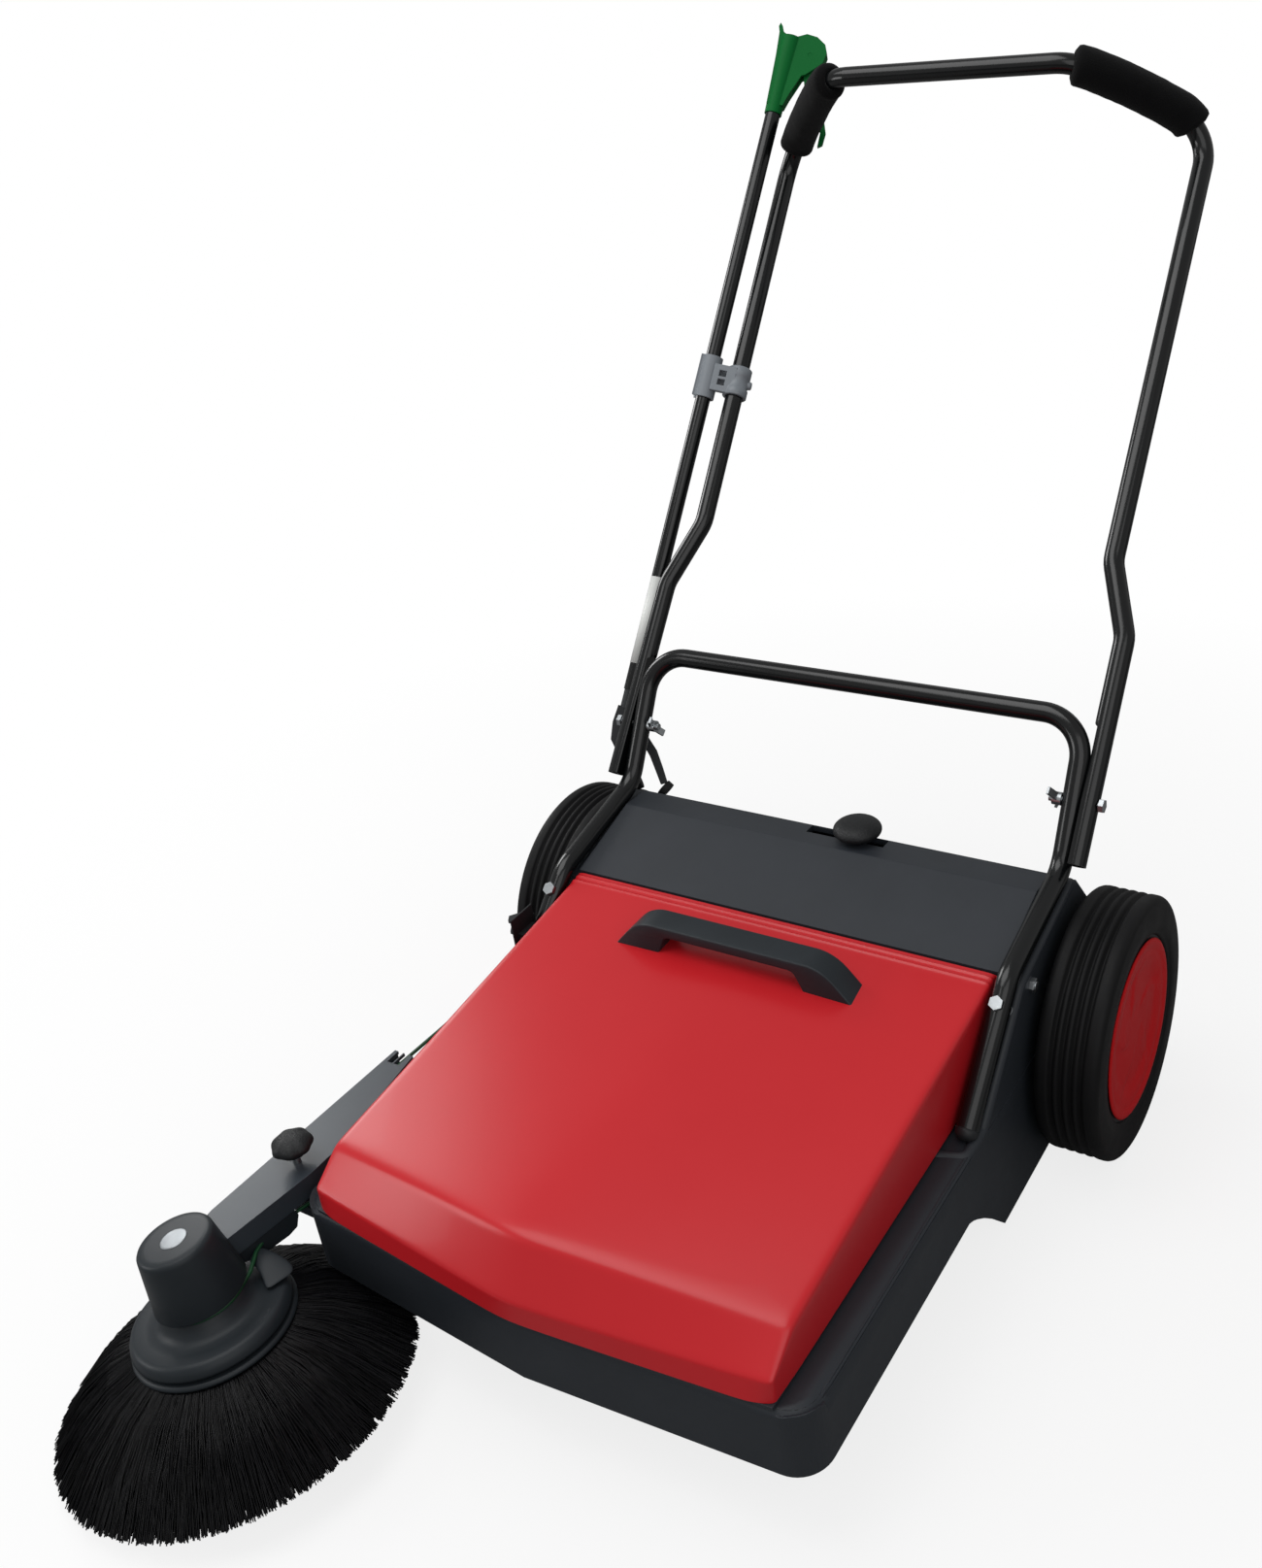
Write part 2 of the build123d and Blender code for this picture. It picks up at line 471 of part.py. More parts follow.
# Bow: crossbar and two legs that run over the wings and down beside the hood
edge_dir = (EDGE_TOP - EDGE_LOW).normalized()
edge_out = Vector(0, -edge_dir.Z, edge_dir.Y)
SEAT = TUBE_R + 3.1
leg_end = EDGE_LOW + edge_out * SEAT - edge_dir * 3
leg_knee = EDGE_TOP + edge_out * SEAT + edge_dir * 1.7
leg_bend = (PIVOT_Y - 0.625 * 62, PIVOT_Z - 62)
leg_top = (PIVOT_Y + 0.625 * 74, PIVOT_Z + 74)
bow_points = [(-BOW_X, leg_end.Y, leg_end.Z), (-BOW_X, leg_knee.Y, leg_knee.Z), (-BOW_X, *leg_bend), (-BOW_X, *leg_top)]
bow_points += [(-x, y, z) for x, y, z in reversed(bow_points)]
bow_path = FilletPolyline(*bow_points, radius=BEND_R + 2)
solid_bow = tube_along(bow_path, TUBE_R)
bow = solid_bow - tube_along(bow_path, TUBE_R - TUBE_WALL)
BOLT_R = 4.0
bolts = []
nuts = []
for side in (-1, 1):
    seat = Vector(side * BOW_X, leg_knee.Y, leg_knee.Z) - edge_dir * 30
    top = Plane(origin=seat + edge_out * TUBE_R, z_dir=edge_out)
    shank = Plane(origin=seat, z_dir=edge_out)
    bolts.append(hexagon_on(top, 13, 5.5) + shank * Pos(0, 0, -9) * Cylinder(BOLT_R, 41))
    bow -= shank * Cylinder(BOLT_R, 60)
    housing -= shank * Pos(0, 0, -18) * Cylinder(BOLT_R, 30)
    low = Plane(origin=seat - edge_out * (SEAT + 4.3), z_dir=edge_out * -1)
    nuts.append(hexagon_on(low, 13, 6.5) - shank * Cylinder(BOLT_R, 90))
    spacer = shank * Pos(0, 0, -(SEAT + TUBE_R) / 2) * Cylinder(9, SEAT - TUBE_R)
    nuts.append(spacer - shank * Cylinder(BOLT_R, 90))
    bow -= cyl_x(side * (BOW_X - 21), side * (BOW_X + 29), PIVOT_Y, PIVOT_Z, BOLT_R)
fixings = bolts + [n - solid_bow - housing for n in nuts]
save(bow, "handle_bow")
save(housing, "rear_housing")

# Hexagon screws on the wings' outer sides
for side in (-1, 1):
    spot = Plane(origin=(side * HALF_W, DECK_FRONT_Y + 15.5, WING_Z - 42.8), x_dir=(0, 1, 0), z_dir=(side, 0, 0))
    fixings.append(hexagon_on(spot, 13, 5) + spot * Pos(0, 0, 5.5) * Cylinder(4.5, 1))
save(Compound(fixings), "hex_bolts")

# Upper handle: legs outside the bow, knees, slanted grip parts and crossbar. Its left leg stands a little wider.
FOOT_Z = PIVOT_Z - 50.0
KNEE_LOW_Z = PIVOT_Z + 137.0
KNEE_UP_Z = PIVOT_Z + 199.0
TOP_Z = PIVOT_Z + 587.6
BAR_X = UPPER_X - 141.4
BAR_FRONT_Y = PIVOT_Y + 383.3
KNEE_IN = 29.5
TOP_IN = {-1: 16.4, 1: 27.1}
BAR_TOP_Z = {-1: PIVOT_Z + 684.0, 1: PIVOT_Z + 680.1}


def lean_y(z):
    """Y of the handle's plane at a height."""
    return PIVOT_Y + LEAN * (z - PIVOT_Z)


def handle_leg(side):
    """Corner points of one leg from its foot to the crossbar's end."""
    return [
        (side * UPPER_X, lean_y(FOOT_Z), FOOT_Z),
        (side * UPPER_X, lean_y(KNEE_LOW_Z), KNEE_LOW_Z),
        (side * (UPPER_X - KNEE_IN), lean_y(KNEE_UP_Z), KNEE_UP_Z),
        (side * (UPPER_X - TOP_IN[side]), lean_y(TOP_Z), TOP_Z),
        (side * BAR_X, BAR_FRONT_Y, BAR_TOP_Z[side]),
    ]


upper_path = FilletPolyline(*(handle_leg(-1) + handle_leg(1)[::-1]), radius=BEND_R)
upper_solid = tube_along(upper_path, TUBE_R)
upper_hollow = tube_along(upper_path, TUBE_R - TUBE_WALL)
for side in (-1, 1):
    flat_z = (FOOT_Z - 35, PIVOT_Z + 67)
    upper_solid -= box(side * (BOW_X - 21), side * FLAT_X, PIVOT_Y - 118, PIVOT_Y + 62, *flat_z)
    hollow_z = (flat_z[0], flat_z[1] + TUBE_WALL)
    upper_hollow -= box(side * (BOW_X - 21), side * (FLAT_X + TUBE_WALL), PIVOT_Y - 118, PIVOT_Y + 62, *hollow_z)
upper = upper_solid - upper_hollow
for side in (-1, 1):
    upper -= cyl_x(side * (BOW_X - 1), side * (UPPER_X + 22), PIVOT_Y, PIVOT_Z, BOLT_R + RUN)
save(upper, "handle_upper")

# Bolts and wing nuts at the handle's pivot
wing_bolts = []
wing_nuts = []
for side in (-1, 1):
    head_x = side * (UPPER_X + TUBE_R + GAP)
    bolt = cyl_x(side * (BOW_X - 25), head_x + side * 0.7, PIVOT_Y, PIVOT_Z, BOLT_R)
    bolt += hexagon_on(Plane(origin=(head_x, PIVOT_Y, PIVOT_Z), z_dir=(side, 0, 0)), 13, 5.3)
    wing_bolts.append(bolt)
    nut = cyl_x(side * (BOW_X - 21), side * (BOW_X - TUBE_R), PIVOT_Y, PIVOT_Z, BOLT_R + 3)
    for sign in (-1, 1):
        blade = Pos(side * (BOW_X - 19), PIVOT_Y, PIVOT_Z) * Rot(sign * 90 - 52, 0, 0) * Pos(0, 0, 12)
        nut += blade * Rot(0, -side * 24, 0) * Box(3.0, 8.0, 15.0)
    nut -= cyl_x(side * (BOW_X - 41), side * (BOW_X + 29), PIVOT_Y, PIVOT_Z, BOLT_R)
    wing_nuts.append(nut - solid_bow)
save(Compound(wing_bolts), "wing_bolts")
save(Compound(wing_nuts), "wing_nuts")

# Foam grips along the slanted parts of the handle, into the bends at both ends
for side, name in ((-1, "left"), (1, "right")):
    corners = [Vector(*p) for p in handle_leg(side)[2:]]
    start = corners[1] + (corners[0] - corners[1]).normalized() * 80
    bar_end = corners[2] + Vector(-side * 80, 0, 0)
    grip_path = FilletPolyline(start, corners[1], corners[2], bar_end, radius=BEND_R).wire()
    grip_path = grip_path.trim(80 / grip_path.length, 1 - 79 / grip_path.length)
    foam = tube_along(grip_path, GRIP_R)
    ends = [e for e in foam.edges() if e.geom_type == GeomType.CIRCLE]
    rims = []
    for e in ends:
        if min((e.arc_center - (grip_path @ 0)).length, (e.arc_center - (grip_path @ 1)).length) < 0.1:
            rims.append(e)
    foam = fillet(rims, 6) - upper_solid
    save(max(foam.solids(), key=lambda s: s.volume), name + "_grip")

# Side brush, drawn on its own tilted plane
lean = math.radians(SB_TILT)
SB_X = LEFT - 11.3
SB_Y = NOSE_Y - SB_AHEAD
SB_Z = 0.8 + SB_R * math.sin(lean)
CAP_Z = ARM_TOP - 65.0
SPINDLE_R = 6.0
brush_plane = Plane(
    origin=(SB_X, SB_Y, SB_Z),
    x_dir=(math.cos(lean), 0, math.sin(lean)),
    z_dir=(-math.sin(lean), 0, math.cos(lean)),
)


def turned(points):
    """Solid of revolution about the brush axis from (radius, height above the cap's lower edge) points."""
    face = make_face(Polyline(*[(r, 0, CAP_Z + h) for r, h in points], close=True))
    return brush_plane * revolve(face, axis=Axis.Z, revolution_arc=360)


bore = SPINDLE_R + RUN
flange = turned(
    [
        (bore, -11.5),
        (30, -11.5),
        (36, -15),
        (FLANGE_R - 16, -16),
        (FLANGE_R - 4, -19),
        (FLANGE_R, -23),
        (FLANGE_R, -26.5),
        (FLANGE_R - 8, -27),
        (FLANGE_R - 20, -24),
        (30, -24),
        (bore, -24),
    ]
)
bump = brush_plane * Pos(FLANGE_R - 23, 20, CAP_Z - 14.5) * Box(20, 12, 7)
save(flange + bump, "side_flange")
BELT_H = CAP_Z - 6.0
side_pulley = brush_plane * Pos(0, 0, BELT_H - 0.25) * Cylinder(SB_PULLEY_R - 0.1, 10.0)
side_pulley -= brush_plane * Pos(0, 0, BELT_H) * Cylinder(bore, 40)
side_pulley -= brush_plane * Pos(0, 0, BELT_H) * Torus(SB_PULLEY_R, ROUND_BELT_R + GAP)
save(side_pulley - flange, "side_pulley")
cap_outer = [(0, CAP_H), (CAP_R_TOP - 3, CAP_H), (CAP_R_TOP, CAP_H - 3), (CAP_R_LOW, 0)]
cap = turned(cap_outer + [(CAP_R_LOW - 3, 0), (CAP_R_TOP - 4, CAP_H - 6), (12, CAP_H - 6), (12, 2), (0, 2)])
save(turned([(0, 2), (12, 2), (12, 0.2), (SPINDLE_R, 0.2), (SPINDLE_R, -29), (0, -29)]), "side_axle")

# Bristles: rows of strands fused to their ring, below the flange
RING_H = CAP_Z - 32.0
strands = []
rows = ((60, FLANGE_R - 8, SB_R, 0.0), (48, FLANGE_R - 16, 0.86 * SB_R, 1.5), (36, FLANGE_R - 23, 0.69 * SB_R, 3.0))
for ring, (count, r0, r1, h1) in enumerate(rows):
    for i in range(count):
        a = 360.0 / count * i + ring * 2.3
        start = Vector(r0, 0, RING_H + 3.5)
        end = Vector(r1, 0, h1)
        d = end - start
        strand = Plane(origin=start + d * 0.5, x_dir=(0, 1, 0), z_dir=d.normalized()) * Box(3.4, 3.4, d.length)
        strands.append(brush_plane * Rot(0, 0, a) * strand)
backing = turned([(FLANGE_R - 32, -27.1), (FLANGE_R - 4, -27.1), (FLANGE_R - 4, -32), (FLANGE_R - 32, -32)])
above = brush_plane * Pos(0, 0, CAP_Z - 27.1 + 60) * Box(2 * SB_R, 2 * SB_R, 120)
floor_cut = box(SB_X - 2 * SB_R, SB_X + 2 * SB_R, SB_Y - 2 * SB_R, SB_Y + 2 * SB_R, -60, 0.8)
save(backing.fuse(*strands) - floor_cut - above, "side_bristles")

# Arm: inverted channel from the pivot pin to the cap
ARM_REAR_Y = ARM_PIN_Y + 20.0
ARM_FRONT_Y = SB_Y + 26.0
arm_plan = [(-57, ARM_REAR_Y), (-62, ARM_FRONT_Y + 32), (-57, ARM_FRONT_Y), (-19, ARM_FRONT_Y)]
arm_plan += [(-6, KNOB_Y - 7), (-6, KNOB_Y + 23), (-31, ARM_REAR_Y)]
arm_in = [(-54, ARM_REAR_Y + 8), (-59, ARM_FRONT_Y + 32), (-54, ARM_FRONT_Y - 18), (-22, ARM_FRONT_Y - 18)]
arm_in += [(-9, KNOB_Y - 7), (-9, KNOB_Y + 23), (-34, ARM_REAR_Y), (-34, ARM_REAR_Y + 8)]
side_arm = plate_z([(LEFT + x, y) for x, y in arm_plan], ARM_TOP - 38, ARM_TOP)
side_arm -= plate_z([(LEFT + x, y) for x, y in arm_in], ARM_TOP - 48, ARM_TOP - 3.5)
side_arm -= box(LEFT - 76, LEFT + 4, ARM_FRONT_Y - 28, KNOB_Y + 33, ARM_TOP - 48, ARM_TOP - 25)
side_arm -= cyl_x(LEFT - 76, LEFT + 4, ARM_PIN_Y, ARM_PIN_Z, ARM_PIN_R + RUN)
SLOT_X = (LEFT - 48.5, LEFT - 39.5)
for x in SLOT_X:
    side_arm -= box(x - 3.6, x + 3.6, ARM_PIN_Y + 2, ARM_REAR_Y + 8, ARM_TOP - 8, ARM_TOP + 4)
side_arm -= cyl_z(KNOB_X, KNOB_Y, ARM_TOP - 18, ARM_TOP + 12, BOLT_R + RUN)
side_arm -= turned([(0, CAP_H), (CAP_R_TOP, CAP_H), (CAP_R_TOP, CAP_H - 3), (CAP_R_LOW, 0), (0, 0)])
save(max(side_arm.solids(), key=lambda s: s.volume), "side_arm")
save(cap, "side_cap")
pin = cyl_x(LEFT - 66, LEFT + 4, ARM_PIN_Y, ARM_PIN_Z, ARM_PIN_R)
save(pin + cyl_x(LEFT - 66, LEFT - 62, ARM_PIN_Y, ARM_PIN_Z, ARM_PIN_R + 3), "arm_pin")
SIDE_KNOB_Z = ARM_TOP + 11.0
save(cyl_z(KNOB_X, KNOB_Y, LUG_Z + 0.6, SIDE_KNOB_Z + 14, BOLT_R), "side_stud")
save(mushroom(KNOB_X, KNOB_Y, SIDE_KNOB_Z, 22, 21, BOLT_R, 14), "side_knob")

# Belt guide on the bow's left leg: saddle, plate and three fins
GUIDE_Y = WING_FRONT_Y + 31.6
leg_z = leg_end.Z + (GUIDE_Y - leg_end.Y) * edge_dir.Z / edge_dir.Y
GUIDE_Z = leg_z + 21.5
fin = [(LEFT, GUIDE_Y + 20), (LEFT, GUIDE_Y - 6), (LEFT - 20, GUIDE_Y - 4), (LEFT - 25, GUIDE_Y + 4), (LEFT - 16, GUIDE_Y + 16)]
guide = box(LEFT - 1.6, LEFT, GUIDE_Y - 20, GUIDE_Y + 18, GUIDE_Z - 50, GUIDE_Z + 21)
guide += box(LEFT - 1, LEFT + 8, GUIDE_Y - 12, GUIDE_Y + 14, GUIDE_Z - 22, GUIDE_Z - 1) - solid_bow
guide += plate_z(fin, GUIDE_Z + 3.5, GUIDE_Z + 7)
guide += plate_z(fin, GUIDE_Z - 11.5, GUIDE_Z - 8)
guide += plate_z(fin, GUIDE_Z - 48.5, GUIDE_Z - 45)
save(max(guide.solids(), key=lambda s: s.volume), "belt_guide")

# Round belt from the wheel's pulley over the guide and through the arm to the side brush
GUIDE_UP = (LEFT - 5.0, GUIDE_Y, GUIDE_Z - 39.0)
GUIDE_LOW = (LEFT - 5.0, GUIDE_Y, GUIDE_Z - 54.0)
SLOT_OUT = (SLOT_X[0], ARM_PIN_Y + 10, ARM_TOP - 12.5)
SLOT_IN = (SLOT_X[1], ARM_PIN_Y + 10, ARM_TOP - 12.5)


def tangent(point, upper_side):
    """Angle at which a line from a point touches the wheel's pulley."""
    d = math.hypot(point[1] - AXLE_Y, point[2] - AXLE_Z)
    base = math.atan2(point[2] - AXLE_Z, point[1] - AXLE_Y)
    half = math.acos(WHEEL_PULLEY_R / d)
    return base - half if upper_side else base + half


def on_brush(x, y):
    """World point from brush plane coordinates, at the belt's height."""
    return tuple(brush_plane.from_local_coords(Vector(x, y, BELT_H)))


top_angle = tangent(GUIDE_UP, True)
low_angle = tangent(GUIDE_LOW, False)
if low_angle > top_angle:
    low_angle -= 2 * math.pi
part = (top_angle - low_angle) / 3
route = [GUIDE_UP]
for k in range(3):
    a = top_angle - part * (k + 0.5)
    away = WHEEL_PULLEY_R / math.cos(part / 2)
    route.append((WHEEL_PULLEY_X, AXLE_Y + away * math.cos(a), AXLE_Z + away * math.sin(a)))
r = SB_PULLEY_R
route += [GUIDE_LOW, SLOT_IN, on_brush(r, 14), on_brush(r, -r), on_brush(-r, -r), on_brush(-r, 14), SLOT_OUT]
loop = FilletPolyline(*route, radius=r - 0.1, close=True).wire().order_edges()
half_way = len(loop) // 2
strand_a = tube_along(Wire(loop[:half_way]), ROUND_BELT_R)
strand_b = tube_along(Wire(loop[half_way:]), ROUND_BELT_R)
save(strand_a + strand_b, "round_belt")

# Dirt container under the hood
BIN_X = HALF_W - 38.0
BIN_REAR_Y = TRAY_END_Y + 39.0
BIN_WALL = 3.0
bin_base = TRAY_Z + 4 + GAP
bin_plan = [(-BIN_X, BIN_REAR_Y), (BIN_X, BIN_REAR_Y), (BIN_X, NOSE_Y + 32), (0, NOSE_Y + 12), (-BIN_X, NOSE_Y + 32)]
in_x = BIN_X - BIN_WALL
bin_in = [(-in_x, BIN_REAR_Y + 3), (in_x, BIN_REAR_Y + 3), (in_x, NOSE_Y + 34.8), (0, NOSE_Y + 15), (-in_x, NOSE_Y + 34.8)]
out_x = HOOD_X - 4
bin_flange = [(-out_x, BIN_REAR_Y), (out_x, BIN_REAR_Y), (out_x, NOSE_Y + 20), (0, NOSE_Y - 2), (-out_x, NOSE_Y + 20)]
container = plate_z(bin_plan, bin_base, HOOD_Z - GAP) + plate_z(bin_flange, RIM_Z + GAP, HOOD_Z - GAP)
container -= plate_z(bin_in, bin_base + BIN_WALL, HOOD_Z + 16)
container += box(-BIN_X, BIN_X, BIN_REAR_Y - BIN_WALL, BIN_REAR_Y, bin_base, bin_base + 24)
save(container, "dirt_container")

# Hood: thin shell, slightly pointed front, lip at the lower edge
HOOD_REAR_Y = DECK_FRONT_Y - 2.5
HOOD_RISE = HOOD_TOP_Z - HOOD_Z


def hood_faces(d):
    """Faces of the hood's outer or inner skin, moved in by d."""
    crease = HOOD_Z + 0.485 * HOOD_RISE - d
    ridge = HOOD_Z + 0.713 * HOOD_RISE - d
    lip = HOOD_Z + 0.228 * HOOD_RISE - d * 0.4
    z1 = HOOD_Z - (4 if d else 0)
    y0 = HOOD_REAR_Y
    x0 = HOOD_X - d
    x1 = x0 - 2.5
    x2 = x0 - 4
    a = [(-x0, y0, HOOD_TOP_Z - d), (0, y0, HOOD_TOP_Z - d), (x0, y0, HOOD_TOP_Z - d)]
    b = [(-x1, NOSE_Y + 61 + d, crease), (0, NOSE_Y + 27 + d, ridge), (x1, NOSE_Y + 61 + d, crease)]
    c = [(-x2, NOSE_Y + 23 + d, lip), (0, NOSE_Y - 5 + d, lip), (x2, NOSE_Y + 23 + d, lip)]
    e = [(-x2, NOSE_Y + 18 + d, z1), (0, NOSE_Y - 5.5 + d, z1), (x2, NOSE_Y + 18 + d, z1)]
    g = [(-x0, y0, z1), (x0, y0, z1)]
    return [
        [a[0], a[1], b[1]],
        [a[0], b[1], b[0]],
        [a[1], a[2], b[1]],
        [a[2], b[2], b[1]],
        [b[0], b[1], c[1]],
        [b[0], c[1], c[0]],
        [b[1], b[2], c[1]],
        [b[2], c[2], c[1]],
        [c[0], c[1], e[1]],
        [c[0], e[1], e[0]],
        [c[1], c[2], e[1]],
        [c[2], e[2], e[1]],
        [a[0], b[0], e[0]],
        [b[0], c[0], e[0]],
        [a[0], e[0], g[0]],
        [a[2], b[2], e[2]],
        [b[2], c[2], e[2]],
        [a[2], e[2], g[1]],
        [a[0], a[1], a[2], g[1], g[0]],
        [e[0], e[1], e[2], g[1], g[0]],
    ]


skin = polygon_solid(hood_faces(0))
hood = skin - polygon_solid(hood_faces(HOOD_WALL))
rear_x = HOOD_X - HOOD_WALL
hood -= box(-rear_x, rear_x, HOOD_REAR_Y - 1.5, HOOD_REAR_Y + 22, HOOD_Z - 60, HOOD_TOP_Z - 7)
fall = (1 - 0.713) * HOOD_RISE / (HOOD_REAR_Y - NOSE_Y - 27)
for back in (8, 16):
    y = HOOD_REAR_Y - back
    z = HOOD_TOP_Z - fall * back
    hood += box(-HOOD_X + 4, HOOD_X - 4, y - 1.5, y + 1.5, z - 2, z + 0.6)
save(hood, "hood")

# Grab handle on the hood
GRAB_Y = HOOD_REAR_Y - 76.0
GRAB_FOOT_Z = HOOD_TOP_Z - 25.0
GRAB_TOP_Z = HOOD_TOP_Z + 26.0
grab_line = [(-143, GRAB_FOOT_Z), (-143, GRAB_FOOT_Z + 22), (-112, GRAB_TOP_Z), (112, GRAB_TOP_Z)]
grab_line += [(143, GRAB_FOOT_Z + 22), (143, GRAB_FOOT_Z), (92, GRAB_FOOT_Z), (78, GRAB_TOP_Z - 11)]
grab_line += [(-78, GRAB_TOP_Z - 11), (-92, GRAB_FOOT_Z)]
grab_face = make_face(Polyline(*[(x, GRAB_Y - 16, z) for x, z in grab_line], close=True))
grab = extrude(grab_face, amount=32, dir=(0, 1, 0))
grab = fillet([e for e in grab.edges().filter_by(Axis.X) if e.center().Z > GRAB_TOP_Z - 2], 8)
save(grab - skin, "hood_handle")

# Litter picker in its clip, drawn on a plane along its tube
low = Vector(LEFT - 34.0, PIVOT_Y + 66.0, PIVOT_Z + 36.0)
high = low + Vector(38.0, PICK_BACK, PICK_UP)
axis_dir = (high - low).normalized()
length = (high - low).length
side_dir = Vector(0.86, 0.42, 0)
side_dir = (side_dir - axis_dir * side_dir.dot(axis_dir)).normalized()
pick = Plane(origin=low, x_dir=side_dir, z_dir=axis_dir)


def leaf_on(points, base, half):
    """Flat piece of the picker from (across, along) points, a half thickness either side of its plane."""
    face = make_face(Polyline(*[(x, 0, base + z) for x, z in points], close=True))
    return pick * extrude(face, amount=half, both=True, dir=(0, 1, 0))


def pin_on(across, along, r, span):
    """Cross pin of the picker."""
    return pick * Pos(across, 0, along) * Rot(90, 0, 0) * Cylinder(r, span)


TUBE_END = -26.0
tube_mid = pick * Pos(0, 0, (length + TUBE_END) / 2)
tube = tube_mid * Cylinder(PICK_R, length - TUBE_END) - tube_mid * Cylinder(PICK_R - 1.2, length - TUBE_END + 2)
save(tube, "picker_tube")
ROD_R = 3.0
GRIP_PIN = (30.0, 76.0)
stem = pick * Pos(0, 0, length + 48) * Cone(PICK_R + 1.6, PICK_R + 4.6, 104)
stem -= pick * Pos(0, 0, length - 5) * Cylinder(PICK_R, 20)
pistol = [(-10, 6), (-11.5, 40), (-13, 70), (-15.5, 99), (-18, 106), (-16.5, 111), (-13, 107), (-10, 100), (-3, 96), (4, 94.5)]
pistol += [(12, 98), (20, 101.8), (34, 100), (46, 92), (50.5, 82), (48.5, 68.5), (38.5, 58), (30, 50), (25.5, 48), (15, 20), (11, 6)]
lobe = leaf_on(pistol, length, 9)
trim_top = pick * Pos(0, 0, length + 96 + 30) * Box(60, 60, 60) - lobe
grip_body = stem - trim_top + lobe
grip_body -= pick * Pos(0, 0, length + 10) * Cylinder(ROD_R + 1.5, 70)
grip_body -= pick * Pos(PICK_R + 18, 0, length + 56) * Box(38, 8.6, 56)
grip_body -= pin_on(GRIP_PIN[0], length + GRIP_PIN[1], 2.5, 40)
save(max(grip_body.solids(), key=lambda s: s.volume), "picker_grip")
lever = [(24, 81), (36, 81), (40, 62), (43, 34), (54, 13), (66, 0), (72, -16), (71.5, -32), (66, -36), (65.5, -18)]
lever += [(58, -4), (46, 6), (34, 28), (30, 42), (24, 60)]
trigger = leaf_on(lever, length, 3.4)
trigger += pin_on(GRIP_PIN[0], length + GRIP_PIN[1], 2.45, 17.6)
save(trigger, "picker_trigger")

# Jaw head on the tube's lower end: fixed jaw with its cup, moving jaw with its cup
HEAD_TOP = -48.0
JAW_PIN = (20.0, -78.0)
rod_low = HEAD_TOP - 14
rod_bar = pick * Pos(0, 0, (rod_low + length + 22) / 2) * Cylinder(ROD_R, length + 22 - rod_low)
save(rod_bar, "picker_rod")
head_line = [(-10, HEAD_TOP), (10, HEAD_TOP), (26, -68), (27, -88), (14, -108), (6, -110), (-9, -92), (-12, -70)]
head = leaf_on(head_line, 0, 7)
plug_low = HEAD_TOP - 2
plug_top = TUBE_END + 30
neck = head + pick * Pos(0, 0, (plug_low + plug_top) / 2) * Cylinder(PICK_R - 1.2, plug_top - plug_low)
neck -= pick * Pos(0, 0, HEAD_TOP / 2) * Cylinder(ROD_R + GAP, 150)
neck -= pick * Pos(21, 0, -78) * Box(34, 7.4, 24)
neck -= pin_on(JAW_PIN[0], JAW_PIN[1], 2.5, 40)
fixed = leaf_on([(-4, -92), (12, -100), (26, -119), (38, -128), (32, -137), (18, -126), (4, -110)], 0, 6)
save(max((neck + fixed).solids(), key=lambda s: s.volume), "picker_head")
fixed_cup = pick * Pos(36, 0, -135) * Rot(0, 52, 0) * Cylinder(10.5, 8)
save(fixed_cup - fixed, "picker_fixed_cup")
jaw_line = [(14, -71), (26, -70), (34, -77), (50, -92), (62, -110), (73, -128), (66, -132), (54, -115), (44, -101)]
jaw_line += [(30, -87), (14, -85)]
jaw = leaf_on(jaw_line, 0, 3.2) + pin_on(JAW_PIN[0], JAW_PIN[1], 2.45, 13.8)
save(jaw, "picker_jaw")
jaw_cup = pick * Pos(73, 0, -136) * Rot(0, -62, 0) * Cylinder(10.5, 8)
save(jaw_cup - jaw, "picker_jaw_cup")

# Double clip between the handle's left leg and the picker
CLIP_Z = PIVOT_Z + 341.0
knee = Vector(*handle_leg(-1)[2])
corner = Vector(*handle_leg(-1)[3])
leg_dir = (corner - knee).normalized()
leg_pt = knee + (corner - knee) * ((CLIP_Z - KNEE_UP_Z) / (TOP_Z - KNEE_UP_Z))
pick_pt = low + axis_dir * (leg_pt - low).dot(axis_dir)
leg_plane = Plane(origin=leg_pt, z_dir=leg_dir)
pick_plane = Plane(origin=pick_pt, z_dir=axis_dir)
clip = leg_plane * Cylinder(TUBE_R + 4, 34) + pick_plane * Cylinder(PICK_R + 4, 42)
span = pick_pt - leg_pt
clip += Plane(origin=(leg_pt + pick_pt) * 0.5, x_dir=span.normalized(), z_dir=axis_dir) * Box(span.length - 20, 14, 26)
clip -= leg_plane * Cylinder(TUBE_R, 120)
clip -= pick_plane * Cylinder(PICK_R + RUN, 120)
save(clip, "tool_clip")

# The stored frame has its origin on the floor below the middle of the whole machine's box
boxes = [shape.bounding_box() for shape in NODES.values()]
MID_X = (min(b.min.X for b in boxes) + max(b.max.X for b in boxes)) / 2
MID_Y = (min(b.min.Y for b in boxes) + max(b.max.Y for b in boxes)) / 2
print("moved by", round(-MID_X, 4), round(-MID_Y, 4))
for node, shape in NODES.items():
    export_step(shape.moved(Location((-MID_X, -MID_Y, 0))), "parts/" + node + ".step")
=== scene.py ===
"""Looks of a walk-behind floor sweeper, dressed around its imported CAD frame."""

import json
import logging
import math
from dataclasses import dataclass
from enum import Enum
from typing import Optional, Sequence, Union

